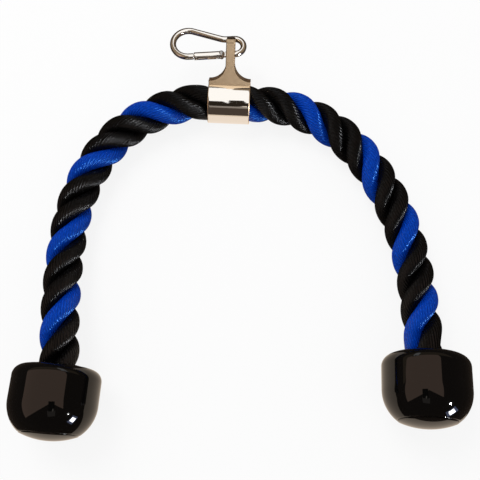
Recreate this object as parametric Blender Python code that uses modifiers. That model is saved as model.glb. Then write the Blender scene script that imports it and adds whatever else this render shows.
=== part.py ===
"""Triceps rope attachment for a cable machine, lying on a flat surface.

A thick rope runs through a metal collar with an upright lug. A snap hook hangs in the eye of the
lug, and each rope end is held in a hollow end cap by a crimped ferrule and a washer. X runs to the
right, Y away from the caps and Z up. The legs of the rope bend at two places beside the collar,
where the rope is cut into a ball and a cup, so that each leg turns with its cap.
"""

import bisect
import math

import bmesh
import bpy
from mathutils import Matrix, Vector

# Rope, in metres. The route runs from the left end to the right end, measured from the middle
# of the collar in plan and from the surface in height. The left leg starts at the left cap's
# mouth, the right leg starts in the collar, and the last stretch at the right cap's mouth.
ROPE_DIAMETER = 0.030
ROPE_RING_SPACING = 0.016
ROUTE_ORIGIN = (-0.0096, 0.1073, 0.0001)
ROUTE_IN_LEFT_CAP = (
    (-0.1308, -0.2497, 0.0363),
    (-0.1291, -0.2260, 0.0329),
)
ROUTE_LEFT_LEG = (
    (-0.1285, -0.2171, 0.0316),
    (-0.1299, -0.1970, 0.0288),
    (-0.1313, -0.1775, 0.0254),
    (-0.1320, -0.1583, 0.0216),
    (-0.1321, -0.1387, 0.0181),
    (-0.1309, -0.1187, 0.0158),
    (-0.1281, -0.0990, 0.0154),
    (-0.1232, -0.0796, 0.0154),
    (-0.1158, -0.0611, 0.0154),
    (-0.1055, -0.0438, 0.0154),
    (-0.0926, -0.0286, 0.0154),
    (-0.0769, -0.0163, 0.0156),
    (-0.0591, -0.0075, 0.0162),
    (-0.0395, -0.0013, 0.0170),
    (-0.0183, 0.0008, 0.0174),
)
ROUTE_RIGHT_LEG = (
    (-0.0003, 0.0, 0.0174),
    (0.0177, -0.0008, 0.0174),
    (0.0395, -0.0026, 0.0170),
    (0.0588, -0.0078, 0.0162),
    (0.0768, -0.0162, 0.0156),
    (0.0929, -0.0280, 0.0154),
    (0.1068, -0.0423, 0.0154),
    (0.1185, -0.0584, 0.0154),
    (0.1284, -0.0758, 0.0154),
    (0.1363, -0.0940, 0.0154),
    (0.1424, -0.1132, 0.0157),
    (0.1464, -0.1326, 0.0171),
    (0.1487, -0.1524, 0.0196),
    (0.1497, -0.1720, 0.0229),
    (0.1500, -0.1895, 0.0264),
)
ROUTE_IN_RIGHT_CAP = (
    (0.1504, -0.2088, 0.0304),
    (0.1498, -0.2176, 0.0323),
    (0.1482, -0.2405, 0.0374),
)

# Where a leg bends: the distance along the rope from the middle of the collar, and the ball.
BEND_REACH = 0.070
BEND_BALL_PROUD = 0.0020
BEND_GAP = 0.0003

# Collar: a sleeve round the rope and a lug with concave flanks.
SLEEVE_LENGTH = 0.0346
SLEEVE_WALL = 0.0018
SLEEVE_BORE_GAP = 0.0004
SLEEVE_EDGE_RADIUS = 0.0007
COLLAR_TURN_DEG = -2.6
LUG_LIFT_DEG = 35.8
LUG_WIDTH = 0.0134
LUG_THICKNESS = 0.0072
LUG_SHOULDER_HEIGHT = 0.0193
LUG_TOP_RADIUS = 0.0014
LUG_CORNER_RADIUS = 0.0030
EYE_DIAMETER = 0.0098
EYE_HEIGHT = 0.0412
LUG_TOP_OVER_EYE = 0.0121
LUG_NECK_UNDER_EYE = 0.0082

# Snap hook: a wire bent round a large and a small arc, with a hinged gate between its ends.
WIRE_DIAMETER = 0.0050
LARGE_BEND_RADIUS = 0.0125
LARGE_BEND_REACH = 0.0343
SMALL_BEND_RADIUS = 0.0073
SMALL_BEND_REACH = 0.0037
SPINE_SLOPE_DEG = 21.2
KNEE_RADIUS = 0.0140
HOOK_IN_EYE_GAP = 0.0007
HOOK_SETBACK = 0.0010
HOOK_TURN_DEG = 3.4
HOOK_DROOP_DEG = 8.7
GATE_DIAMETER = 0.0062
GATE_LENGTH = 0.0224
GATE_GAP = 0.0003
GATE_TIP_GAP = 0.0004
GATE_TIP_CHAMFER = 0.0006
KNUCKLE_REACH = 0.0075
TONGUE_THICKNESS = 0.0022
TONGUE_HEIGHT = 0.0044
TONGUE_END_REACH = 0.0023
NOSE_NECK_DIAMETER = 0.0018
NOSE_NECK_LENGTH = 0.0024
NOSE_BAR_LENGTH = 0.0036
NOSE_RELIEF = 0.0006
RIVET_DIAMETER = 0.0020
RIVET_HEAD_DIAMETER = 0.0036
RIVET_HEAD_HEIGHT = 0.0006
RIVET_CROWN_WIDTH_SHARE = 0.8
RIVET_CROWN_HEIGHT_SHARE = 0.6
SPRING_BORE_DIAMETER = 0.0036
SPRING_BORE_END_WALL = 0.0016
SPRING_WIRE_DIAMETER = 0.00044
SPRING_TURNS = 8
SPRING_LENGTH = 0.0088
PLUNGER_DIAMETER = 0.0030
PLUNGER_LENGTH = 0.0044

# End caps, the same on both ends. Depths are measured from the mouth, where the rope goes in.
CAP_DIAMETER = 0.0665
CAP_RIM_DIAMETER = 0.0444
CAP_HEIGHT = 0.0504
CAP_SIDE_DEPTH = 0.0280
CAP_SHOULDER_RADIUS = 0.0085
CAP_CROWN = 0.0018
CAP_WALL = 0.0032
CAP_RIM_WALL = 0.0022
CAP_TOP_THICKNESS = 0.0062
CAP_HOLE_GAP = 0.0008
CAP_HOLE_EDGE = 0.0008
PLUG_DOME_HEIGHT = 0.0047
PLUG_SPIGOT_DEPTH = 0.0040
PLUG_GAP = 0.0003
PLUG_WALL = 0.0024
WASHER_THICKNESS = 0.0020
WASHER_RIM_GAP = 0.0006
FERRULE_LENGTH = 0.0160
FERRULE_WALL = 0.0020
SEAT_GAP = 0.0004

# How finely round shapes are divided, and how far a cutter runs past what it cuts.
ROPE_BEVEL_RESOLUTION = 4
WIRE_BEVEL_RESOLUTION = 3
SPRING_POINTS_PER_TURN = 9
ROUND_STEPS = 40
SMALL_ROUND_STEPS = 20
ARC_STEPS = 6
CUT_OVERRUN = 0.0020
WELD_DISTANCE = 0.000001
HEADING_REACH_SHARE = 0.25
SHARP_ANGLE_DEG = 35

# Sizes worked out from the ones above.
ROUTE = (*ROUTE_IN_LEFT_CAP, *ROUTE_LEFT_LEG, *ROUTE_RIGHT_LEG, *ROUTE_IN_RIGHT_CAP)
ROPE_RADIUS = ROPE_DIAMETER / 2
BORE_RADIUS = ROPE_RADIUS + SLEEVE_BORE_GAP
SLEEVE_RADIUS = BORE_RADIUS + SLEEVE_WALL
LUG_HEIGHT = EYE_HEIGHT + LUG_TOP_OVER_EYE
LUG_NECK_HEIGHT = EYE_HEIGHT - LUG_NECK_UNDER_EYE
WIRE_RADIUS = WIRE_DIAMETER / 2
GATE_RADIUS = GATE_DIAMETER / 2
CAP_RADIUS = CAP_DIAMETER / 2
CAP_RIM_RADIUS = CAP_RIM_DIAMETER / 2
CAP_HOLE_RADIUS = ROPE_RADIUS + CAP_HOLE_GAP
CAP_MOUTH_INSIDE = CAP_RIM_RADIUS - CAP_RIM_WALL

COLOURS = {
    "black_blue_rope": ((0.012, 0.018, 0.060), 0.75, 0.0),
    "polished_metal": ((0.72, 0.66, 0.58), 0.12, 1.0),
    "plated_wire": ((0.70, 0.66, 0.61), 0.16, 1.0),
    "zinc_steel": ((0.45, 0.45, 0.46), 0.35, 1.0),
    "black_plastic": ((0.006, 0.006, 0.006), 0.12, 0.0),
}


def clear_scene():
    for item in list(bpy.data.objects):
        bpy.data.objects.remove(item, do_unlink=True)


def make_collection(name):
    group = bpy.data.collections.new(name)
    bpy.context.scene.collection.children.link(group)
    return group


def finish_of(kind, name):
    """A Principled material of one kind of finish, under the sub-part's own name."""
    colour, roughness, metallic = COLOURS[kind]
    material = bpy.data.materials.new(name)
    material.use_nodes = True
    shader = material.node_tree.nodes["Principled BSDF"]
    shader.inputs["Base Color"].default_value = (*colour, 1.0)
    shader.inputs["Roughness"].default_value = roughness
    shader.inputs["Metallic"].default_value = metallic
    return material


def add_object(name, mesh, place, group, kind=None):
    """Links a mesh or curve as an object at the place, with its own material if it is a sub-part."""
    item = bpy.data.objects.new(name, mesh)
    group.objects.link(item)
    item.matrix_world = place
    if kind:
        mesh.materials.append(finish_of(kind, name))
    else:
        item.hide_render = True
        item.display_type = "WIRE"
    if kind and isinstance(mesh, bpy.types.Mesh):
        mesh.shade_smooth()
        mesh.set_sharp_from_angle(angle=math.radians(SHARP_ANGLE_DEG))
    return item


def arc(centre, radius, start, end, steps):
    """Points of an arc in a plane, from one angle to another in radians."""
    angles = [start + (end - start) * step / steps for step in range(steps + 1)]
    return [(centre[0] + radius * math.cos(a), centre[1] + radius * math.sin(a)) for a in angles]


def turned(name, profile, place, group, kind=None, steps=ROUND_STEPS):
    """Turns a profile of (radius, depth) points round Z.

    A profile that starts and ends on the axis makes a solid body, and one that keeps off the axis
    makes a ring, and is closed here.
    """
    on_axis = profile[0][0] == 0 and profile[-1][0] == 0
    mesh = bpy.data.meshes.new(name)
    edges = [(index, index + 1) for index in range(len(profile) - 1)]
    if not on_axis:
        edges.append((len(profile) - 1, 0))
    mesh.from_pydata([(radius, 0, depth) for radius, depth in profile], edges, [])
    item = add_object(name, mesh, place, group)
    screw = item.modifiers.new("Turn", "SCREW")
    screw.steps = screw.render_steps = steps
    screw.use_merge_vertices = True
    screw.merge_threshold = WELD_DISTANCE
    return as_mesh(item, group, kind)


def as_mesh(item, group, kind=None):
    """Replaces an object by its evaluated mesh with welded seams, at the same place."""
    graph = bpy.context.evaluated_depsgraph_get()
    mesh = bpy.data.meshes.new_from_object(item.evaluated_get(graph), depsgraph=graph)
    work = bmesh.new()
    work.from_mesh(mesh)
    bmesh.ops.remove_doubles(work, verts=work.verts, dist=WELD_DISTANCE)
    bmesh.ops.recalc_face_normals(work, faces=work.faces)
    work.to_mesh(mesh)
    work.free()
    mesh.materials.clear()
    name = item.name
    place = item.matrix_world.copy()
    bpy.data.objects.remove(item, do_unlink=True)
    return add_object(name, mesh, place, group, kind)


def wire_along(name, points, radius, resolution, group, kind=None):
    """A round bar with flat ends along points in world space."""
    curve = bpy.data.curves.new(name, "CURVE")
    curve.dimensions = "3D"
    curve.bevel_depth = radius
    curve.bevel_resolution = resolution
    curve.use_fill_caps = True
    line = curve.splines.new("POLY")
    line.points.add(len(points) - 1)
    for spot, point in zip(line.points, points):
        spot.co = (*point, 1.0)
    return add_object(name, curve, Matrix.Identity(4), group, kind)


def plate(name, outline, thickness, place, group, kind=None):
    """A flat outline in the place's XY plane, half its thickness to each side of it."""
    curve = bpy.data.curves.new(name, "CURVE")
    curve.dimensions = "2D"
    curve.fill_mode = "BOTH"
    curve.extrude = thickness / 2
    line = curve.splines.new("POLY")
    line.points.add(len(outline) - 1)
    for spot, point in zip(line.points, outline):
        spot.co = (*point, 0.0, 1.0)
    line.use_cyclic_u = True
    return as_mesh(add_object(name, curve, place, group), group, kind)


def block(name, low, high, place, group):
    """A box from its low corner to its high corner in the place's own axes."""
    low, high = Vector(low), Vector(high)
    work = bmesh.new()
    bmesh.ops.create_cube(work, size=1)
    bmesh.ops.scale(work, vec=high - low, verts=work.verts)
    bmesh.ops.translate(work, vec=(high + low) / 2, verts=work.verts)
    mesh = bpy.data.meshes.new(name)
    work.to_mesh(mesh)
    work.free()
    return add_object(name, mesh, place, group)


def rod(name, radius, length, place, group, kind=None, steps=SMALL_ROUND_STEPS):
    """A cylinder along the place's Z, half its length to each side."""
    work = bmesh.new()
    bmesh.ops.create_cone(
        work, cap_ends=True, segments=steps, radius1=radius, radius2=radius, depth=length
    )
    mesh = bpy.data.meshes.new(name)
    work.to_mesh(mesh)
    work.free()
    return add_object(name, mesh, place, group, kind)


def combine(item, other, operation):
    """A Boolean of the item with another object, which then stays as a hidden helper."""
    change = item.modifiers.new(other.name, "BOOLEAN")
    change.operation = operation
    change.object = other
    change.solver = "EXACT"
    other.hide_render = True
    other.display_type = "WIRE"


def frame_at(point, axis, upward=Vector((0, 0, 1))):
    """A placement whose Z lies along the axis and whose Y leans towards the upward direction."""
    z_axis = Vector(axis).normalized()
    x_axis = upward.cross(z_axis).normalized()
    y_axis = z_axis.cross(x_axis)
    turn = Matrix((x_axis, y_axis, z_axis)).transposed().to_4x4()
    return Matrix.Translation(point) @ turn


class Route:
    """The rope's centre line: a smooth curve through the route's own points."""

    FINE_STEPS = 24

    def __init__(self):
        origin = Vector(ROUTE_ORIGIN)
        self.knots = [origin + Vector(point) for point in ROUTE]
        self.line, knot_lengths = [self.knots[0]], [0.0]
        self.lengths = [0.0]
        for index in range(len(self.knots) - 1):
            for step in range(1, self.FINE_STEPS + 1):
                point = self.between(index, step / self.FINE_STEPS)
                self.lengths.append(self.lengths[-1] + (point - self.line[-1]).length)
                self.line.append(point)
            knot_lengths.append(self.lengths[-1])
        self.collar = knot_lengths[len(ROUTE_IN_LEFT_CAP) + len(ROUTE_LEFT_LEG)]
        self.length = self.lengths[-1]

    def between(self, index, share):
        """A Catmull-Rom point between a knot and the next one."""
        last = len(self.knots) - 1
        before, start = self.knots[max(index - 1, 0)], self.knots[index]
        end, after = self.knots[index + 1], self.knots[min(index + 2, last)]
        leave, arrive = (end - before) / 2, (after - start) / 2
        if index == 0:
            leave = end - start
        if index == last - 1:
            arrive = end - start
        square, cube = share * share, share * share * share
        return (
            start * (2 * cube - 3 * square + 1)
            + leave * (cube - 2 * square + share)
            + end * (3 * square - 2 * cube)
            + arrive * (cube - square)
        )

    def at(self, length):
        """The point at a distance along the rope from its left end."""
        if length <= 0:
            return self.line[0].copy()
        index = min(bisect.bisect_left(self.lengths, length), len(self.line) - 1)
        before, after = self.lengths[index - 1], self.lengths[index]
        return self.line[index - 1].lerp(self.line[index], (length - before) / (after - before))

    def heading(self, length):
        """The direction towards the right end at a distance along the rope."""
        reach = ROPE_RING_SPACING * HEADING_REACH_SHARE
        return (self.at(length + reach) - self.at(length - reach)).normalized()

    def stretch(self, start, end):
        """Evenly spaced points from one distance to another, for the rings of a tube."""
        count = max(2, round((end - start) / ROPE_RING_SPACING))
        return [self.at(start + (end - start) * step / count) for step in range(count + 1)]


def bend_cutters(route, side, group):
    """The ball that hollows the middle stretch, and the block that rounds the leg's end.

    Both are centred on the leg's bend. The block has a ball-shaped hollow that faces the cap.
    """
    ball = ROPE_RADIUS + BEND_BALL_PROUD
    place = frame_at(*bend_of(route, side))
    outer = ball + BEND_GAP
    reach = outer + CUT_OVERRUN
    cup = turned(
        f"{side}_bend_ball", arc((0, 0), outer, -math.pi / 2, math.pi / 2, 2 * ARC_STEPS), place, group
    )
    hollow = arc((0, 0), ball, 0, -math.pi / 2, ARC_STEPS)
    block_profile = [(0, -reach), (reach, -reach), (reach, 0), *hollow]
    rounding = turned(f"{side}_bend_block", block_profile, place, group)
    return cup, rounding


def bend_of(route, side):
    """The point where a leg bends, and the direction there from the collar to the cap."""
    sign = -1 if side == "left" else 1
    length = route.collar + sign * BEND_REACH
    return route.at(length), route.heading(length) * sign


def make_rope(route, parts, helpers):
    """The rope in three stretches: one through the collar and one for each leg."""
    ball = ROPE_RADIUS + BEND_BALL_PROUD
    left, right = route.collar - BEND_REACH, route.collar + BEND_REACH
    stretches = {
        "rope_centre": (left, right),
        "rope_left": (0, left + ball - BEND_GAP),
        "rope_right": (right - ball + BEND_GAP, route.length),
    }
    pieces = {}
    for name, (start, end) in stretches.items():
        tube = wire_along(
            name, route.stretch(start, end), ROPE_RADIUS, ROPE_BEVEL_RESOLUTION, helpers
        )
        pieces[name] = as_mesh(tube, parts, "black_blue_rope")
    for side in ("left", "right"):
        cup, rounding = bend_cutters(route, side, helpers)
        combine(pieces["rope_centre"], cup, "DIFFERENCE")
        combine(pieces[f"rope_{side}"], rounding, "DIFFERENCE")


def collar_place(route):
    """The collar's own axes: X along the sleeve, Z up the lug, at the middle of the bore."""
    turn = Matrix.Rotation(math.radians(COLLAR_TURN_DEG), 4, "Z")
    lift = Matrix.Rotation(math.radians(LUG_LIFT_DEG - 90), 4, "X")
    return Matrix.Translation(route.at(route.collar)) @ turn @ lift


def lug_outline():
    """The lug seen from the front: a thin neck that spreads in hollow curves to the sleeve's ends."""
    half, foot = LUG_THICKNESS / 2, SLEEVE_LENGTH / 2
    corner = (half - LUG_TOP_RADIUS, LUG_HEIGHT - LUG_TOP_RADIUS)
    top = arc(corner, LUG_TOP_RADIUS, 0, math.pi / 2, ARC_STEPS)
    sweep, rise = foot - half, LUG_NECK_HEIGHT - LUG_SHOULDER_HEIGHT
    hollow = [
        (foot - sweep * math.sin(angle), LUG_NECK_HEIGHT - rise * math.cos(angle))
        for angle in (math.pi / 2 * step / (2 * ARC_STEPS) for step in range(2 * ARC_STEPS + 1))
    ]
    right = [(foot, 0), *hollow, *top]
    return right + [(-x, height) for x, height in reversed(right)]


def lug_side_outline():
    """The lug seen along the rope: a bar with rounded top corners, from the bore's middle up."""
    half = LUG_WIDTH / 2
    centre = (half - LUG_CORNER_RADIUS, LUG_HEIGHT - LUG_CORNER_RADIUS)
    right = [(half, 0), *arc(centre, LUG_CORNER_RADIUS, 0, math.pi / 2, ARC_STEPS)]
    return right + [(-depth, height) for depth, height in reversed(right)]


def make_collar(route, parts, helpers):
    """The collar: sleeve and lug in one casting, bored for the rope, with the eye through the lug."""
    place = collar_place(route)
    along_sleeve = place @ Matrix.Rotation(math.pi / 2, 4, "Y")
    facing = place @ Matrix.Rotation(math.pi / 2, 4, "X")
    sideways = place @ Matrix.Rotation(math.pi / 2, 4, "Z") @ Matrix.Rotation(math.pi / 2, 4, "X")

    edge, half = SLEEVE_EDGE_RADIUS, SLEEVE_LENGTH / 2
    round_end = arc((SLEEVE_RADIUS - edge, half - edge), edge, 0, math.pi / 2, ARC_STEPS // 2)
    profile = [(r, z) for r, z in round_end] + [(0, half)]
    profile = [(0, -half)] + [(r, -z) for r, z in reversed(round_end)] + profile
    collar = turned("rope_collar", profile, along_sleeve, parts, "polished_metal")

    lug = plate("lug_front", lug_outline(), LUG_WIDTH, facing, helpers)
    width = SLEEVE_LENGTH + 2 * CUT_OVERRUN
    combine(lug, plate("lug_side", lug_side_outline(), width, sideways, helpers), "INTERSECT")
    combine(collar, lug, "UNION")
    bore = rod("collar_bore", BORE_RADIUS, width, along_sleeve, helpers, steps=ROUND_STEPS)
    combine(collar, bore, "DIFFERENCE")
    at_eye = Matrix.Translation((0, 0, EYE_HEIGHT))
    eye_place = place @ at_eye @ Matrix.Rotation(math.pi / 2, 4, "Y")
    eye = rod("lug_eye", EYE_DIAMETER / 2, width, eye_place, helpers, steps=2 * SMALL_ROUND_STEPS)
    combine(collar, eye, "DIFFERENCE")


def hook_place(route):
    """The snap hook's own axes: X along its bar in the eye, Y towards its back, Z across its loop."""
    play = EYE_DIAMETER / 2 - WIRE_RADIUS - HOOK_IN_EYE_GAP
    drop = math.sqrt(max(play * play - HOOK_SETBACK * HOOK_SETBACK, 0))
    seat = collar_place(route) @ Vector((0, HOOK_SETBACK, EYE_HEIGHT - drop))
    turn = Matrix.Rotation(math.radians(HOOK_TURN_DEG), 4, "Z")
    droop = Matrix.Rotation(math.radians(-HOOK_DROOP_DEG), 4, "X")
    return Matrix.Translation(seat) @ turn @ droop


class HookShape:
    """Reaches along the snap hook's bar, all measured from the middle of the eye."""

    def __init__(self):
        self.hinge = -KNUCKLE_REACH
        self.shoulder = self.hinge + GATE_RADIUS + GATE_GAP
        self.gate_tip = self.hinge - GATE_LENGTH
        self.nose_face = self.gate_tip - GATE_TIP_GAP
        self.neck_end = self.nose_face + NOSE_NECK_LENGTH
        self.slot_end = self.hinge - TONGUE_END_REACH - GATE_GAP
        self.bore_end = self.neck_end + NOSE_NECK_DIAMETER / 2 + NOSE_RELIEF + SPRING_BORE_END_WALL

    def line(self):
        """The wire's centre line from the hinge shoulder, round both bends, to the nose face.

        The sloping back is tangent to the large bend, and a knee joins it to the small bend's top.
        """
        quarter, slope = math.pi / 2, math.radians(SPINE_SLOPE_DEG)
        small_top = 2 * SMALL_BEND_RADIUS
        meeting = (
            LARGE_BEND_RADIUS * (1 + math.cos(slope))
            - LARGE_BEND_REACH * math.sin(slope)
            - small_top * math.cos(slope)
        ) / math.sin(slope)
        knee_centre = (meeting + KNEE_RADIUS * math.tan(slope / 2), small_top + KNEE_RADIUS)
        small = arc(
            (SMALL_BEND_REACH, SMALL_BEND_RADIUS), SMALL_BEND_RADIUS, -quarter, quarter, 3 * ARC_STEPS
        )
        knee = arc(knee_centre, KNEE_RADIUS, -quarter, -quarter - slope, ARC_STEPS // 2)
        large = arc(
            (-LARGE_BEND_REACH, LARGE_BEND_RADIUS),
            LARGE_BEND_RADIUS,
            quarter - slope,
            3 * quarter,
            4 * ARC_STEPS,
        )
        return [(self.shoulder, 0), *small, *knee, *large, (self.nose_face, 0)]


def make_hook(route, parts, helpers):
    """The bent wire with its flat tongue at the hinge and its T-shaped nose at the gate's tip."""
    place, shape = hook_place(route), HookShape()
    points = [place @ Vector((x, y, 0)) for x, y in shape.line()]
    wire = wire_along("carabiner_hook", points, WIRE_RADIUS, WIRE_BEVEL_RESOLUTION, helpers)
    hook = as_mesh(wire, parts, "plated_wire")
    half_high, half_thick = TONGUE_HEIGHT / 2, TONGUE_THICKNESS / 2
    tongue = block(
        "hook_tongue",
        (shape.hinge - TONGUE_END_REACH, -half_high, -half_thick),
        (shape.shoulder + WIRE_RADIUS, half_high, half_thick),
        place,
        helpers,
    )
    combine(hook, tongue, "UNION")
    neck_radius = NOSE_NECK_DIAMETER / 2
    neck_start = shape.nose_face - WIRE_RADIUS
    neck_place = place @ Matrix.Translation(((neck_start + shape.neck_end) / 2, 0, 0))
    neck_place = neck_place @ Matrix.Rotation(math.pi / 2, 4, "Y")
    neck = rod("hook_nose_neck", neck_radius, shape.neck_end - neck_start, neck_place, helpers)
    combine(hook, neck, "UNION")
    bar_place = place @ Matrix.Translation((shape.neck_end, 0, 0))
    bar = rod("hook_nose_bar", neck_radius, NOSE_BAR_LENGTH, bar_place, helpers)
    combine(hook, bar, "UNION")
    hole_place = place @ Matrix.Translation((shape.hinge, 0, 0))
    hole_radius = RIVET_DIAMETER / 2 + GATE_GAP
    hole = rod("tongue_hole", hole_radius, 2 * TONGUE_THICKNESS, hole_place, helpers)
    combine(hook, hole, "DIFFERENCE")


def make_gate(route, parts, helpers):
    """The gate: a tube with a rounded, slotted knuckle, a spring bore and a T pocket at its tip."""
    place, shape = hook_place(route), HookShape()
    along = place @ Matrix.Translation((shape.hinge, 0, 0)) @ Matrix.Rotation(math.pi / 2, 4, "Y")
    knuckle = arc((0, 0), GATE_RADIUS, 0, math.pi / 2, ARC_STEPS)
    tip = [(0, -GATE_LENGTH), (GATE_RADIUS - GATE_TIP_CHAMFER, -GATE_LENGTH)]
    tip.append((GATE_RADIUS, GATE_TIP_CHAMFER - GATE_LENGTH))
    profile = tip + knuckle[:-1] + [(0, GATE_RADIUS)]
    gate = turned("carabiner_gate", profile, along, parts, "plated_wire", steps=SMALL_ROUND_STEPS)

    across = TONGUE_THICKNESS / 2 + GATE_GAP
    slot = block(
        "gate_slot",
        (shape.slot_end - PLUNGER_DIAMETER / 2, -GATE_DIAMETER, -across),
        (shape.hinge + GATE_DIAMETER, GATE_DIAMETER, across),
        place,
        helpers,
    )
    combine(gate, slot, "DIFFERENCE")
    bore_start = shape.slot_end + GATE_GAP
    bore_place = place @ Matrix.Translation(((bore_start + shape.bore_end) / 2, 0, 0))
    bore_place = bore_place @ Matrix.Rotation(math.pi / 2, 4, "Y")
    bore = rod("gate_bore", SPRING_BORE_DIAMETER / 2, bore_start - shape.bore_end, bore_place, helpers)
    combine(gate, bore, "DIFFERENCE")

    neck_half = NOSE_NECK_DIAMETER / 2 + GATE_GAP
    pocket_top = neck_half
    neck = block(
        "gate_neck_pocket",
        (shape.gate_tip - CUT_OVERRUN, -GATE_DIAMETER, -neck_half),
        (shape.neck_end, pocket_top, neck_half),
        place,
        helpers,
    )
    combine(gate, neck, "DIFFERENCE")
    bar_half = NOSE_BAR_LENGTH / 2 + GATE_GAP
    bar = block(
        "gate_bar_pocket",
        (shape.neck_end - neck_half, -GATE_DIAMETER, -bar_half),
        (shape.neck_end + NOSE_NECK_DIAMETER / 2 + NOSE_RELIEF, pocket_top, bar_half),
        place,
        helpers,
    )
    combine(gate, bar, "DIFFERENCE")
    hole_place = place @ Matrix.Translation((shape.hinge, 0, 0))
    hole_radius = RIVET_DIAMETER / 2 + GATE_GAP
    hole = rod("gate_rivet_hole", hole_radius, 2 * GATE_DIAMETER, hole_place, helpers)
    combine(gate, hole, "DIFFERENCE")


def make_gate_fittings(route, parts):
    """The rivet through the knuckle, and the plunger and spring inside the gate's bore."""
    place, shape = hook_place(route), HookShape()
    at_hinge = place @ Matrix.Translation((shape.hinge, 0, 0))
    seat, radius, head = GATE_RADIUS + GATE_GAP, RIVET_DIAMETER / 2, RIVET_HEAD_DIAMETER / 2
    crown = seat + RIVET_HEAD_HEIGHT
    shoulder = (head * RIVET_CROWN_WIDTH_SHARE, seat + RIVET_HEAD_HEIGHT * RIVET_CROWN_HEIGHT_SHARE)
    upper = [(radius, seat), (head, seat), shoulder, (0, crown)]
    profile = [(r, -z) for r, z in reversed(upper)] + upper
    turned("gate_rivet", profile, at_hinge, parts, "zinc_steel", steps=SMALL_ROUND_STEPS)

    along = place @ Matrix.Translation((shape.slot_end, 0, 0)) @ Matrix.Rotation(-math.pi / 2, 4, "Y")
    plunger_radius = PLUNGER_DIAMETER / 2
    nose = arc((0, plunger_radius), plunger_radius, -math.pi / 2, 0, ARC_STEPS)
    profile = [(0, 0)] + nose[1:] + [(plunger_radius, PLUNGER_LENGTH), (0, PLUNGER_LENGTH)]
    turned("gate_plunger", profile, along, parts, "zinc_steel", steps=SMALL_ROUND_STEPS)

    spring_radius = (SPRING_BORE_DIAMETER - SPRING_WIRE_DIAMETER) / 2 - GATE_GAP
    start = shape.slot_end - PLUNGER_LENGTH - GATE_GAP - SPRING_WIRE_DIAMETER
    count = SPRING_TURNS * SPRING_POINTS_PER_TURN
    pitch = SPRING_LENGTH / SPRING_TURNS
    points = []
    for step in range(count + 1):
        turns = step / SPRING_POINTS_PER_TURN
        angle = 2 * math.pi * turns
        local = (start - pitch * turns, spring_radius * math.cos(angle), spring_radius * math.sin(angle))
        points.append(place @ Vector(local))
    wire_along("gate_spring", points, SPRING_WIRE_DIAMETER / 2, 1, parts, "zinc_steel")


def cap_outer_profile():
    """The cap's outside from the hole's edge at the mouth, over the shoulder, down to the rim."""
    shoulder = arc(
        (CAP_RADIUS - CAP_SHOULDER_RADIUS, CAP_CROWN + CAP_SHOULDER_RADIUS),
        CAP_SHOULDER_RADIUS,
        -math.pi / 2,
        0,
        ARC_STEPS,
    )
    inset, drop = CAP_RADIUS - CAP_RIM_RADIUS, CAP_HEIGHT - CAP_SIDE_DEPTH
    side_radius = (inset * inset + drop * drop) / (2 * inset)
    sweep = math.asin(min(drop / side_radius, 1))
    side = arc((CAP_RADIUS - side_radius, CAP_SIDE_DEPTH), side_radius, 0, sweep, 2 * ARC_STEPS)
    return [(CAP_HOLE_RADIUS + CAP_HOLE_EDGE, 0), *shoulder, *side]


def cap_inner_profile():
    """The cavity from the rim, up the wall, to the underside of the top."""
    inside = CAP_RADIUS - CAP_WALL
    inset = inside - CAP_MOUTH_INSIDE
    drop = CAP_HEIGHT - PLUG_SPIGOT_DEPTH - CAP_WALL - CAP_SIDE_DEPTH
    side_radius = (inset * inset + drop * drop) / (2 * inset)
    sweep = math.asin(min(drop / side_radius, 1))
    side = arc((inside - side_radius, CAP_SIDE_DEPTH), side_radius, sweep, 0, ARC_STEPS)
    corner = max(CAP_SHOULDER_RADIUS - CAP_WALL, CAP_WALL)
    centre = (inside - corner, CAP_TOP_THICKNESS + corner)
    shoulder = arc(centre, corner, 0, -math.pi / 2, ARC_STEPS // 2)
    return [(CAP_MOUTH_INSIDE, CAP_HEIGHT), *side, *shoulder]


def make_cap(side, mouth, inner_end, parts):
    """One end cap with its plug, and the washer and ferrule that hold the rope in it."""
    place = frame_at(mouth, inner_end - mouth)
    hole = [(CAP_HOLE_RADIUS, CAP_TOP_THICKNESS), (CAP_HOLE_RADIUS, CAP_HOLE_EDGE)]
    shell = cap_outer_profile() + cap_inner_profile() + hole
    turned(f"{side}_cap_shell", shell, place, parts, "black_plastic")

    seat = CAP_HEIGHT + PLUG_GAP
    dome_radius = (CAP_RIM_RADIUS**2 + PLUG_DOME_HEIGHT**2) / (2 * PLUG_DOME_HEIGHT)
    rise = math.asin(CAP_RIM_RADIUS / dome_radius)
    centre = (0, seat + PLUG_DOME_HEIGHT - dome_radius)
    dome = arc(centre, dome_radius, math.pi / 2 - rise, math.pi / 2, ARC_STEPS)
    spigot, spigot_end = CAP_MOUTH_INSIDE - PLUG_GAP, seat - PLUG_SPIGOT_DEPTH
    inner = spigot - PLUG_WALL
    plug = [(0, seat), (inner, seat), (inner, spigot_end), (spigot, spigot_end), (spigot, seat)]
    plug += dome[:-1] + [(0, seat + PLUG_DOME_HEIGHT)]
    turned(f"{side}_cap_plug", plug, place, parts, "black_plastic")

    washer_top = CAP_TOP_THICKNESS + SEAT_GAP
    washer_base = washer_top + WASHER_THICKNESS
    hole_radius, rim = ROPE_RADIUS + SEAT_GAP, CAP_MOUTH_INSIDE - WASHER_RIM_GAP
    washer = [(hole_radius, washer_top), (rim, washer_top), (rim, washer_base), (hole_radius, washer_base)]
    turned(f"{side}_washer", washer, place, parts, "zinc_steel")

    ferrule_top = washer_base + SEAT_GAP
    ferrule_base, outside = ferrule_top + FERRULE_LENGTH, hole_radius + FERRULE_WALL
    ferrule = [
        (hole_radius, ferrule_top),
        (outside, ferrule_top),
        (outside, ferrule_base),
        (hole_radius, ferrule_base),
    ]
    turned(f"{side}_ferrule", ferrule, place, parts, "zinc_steel")


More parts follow.
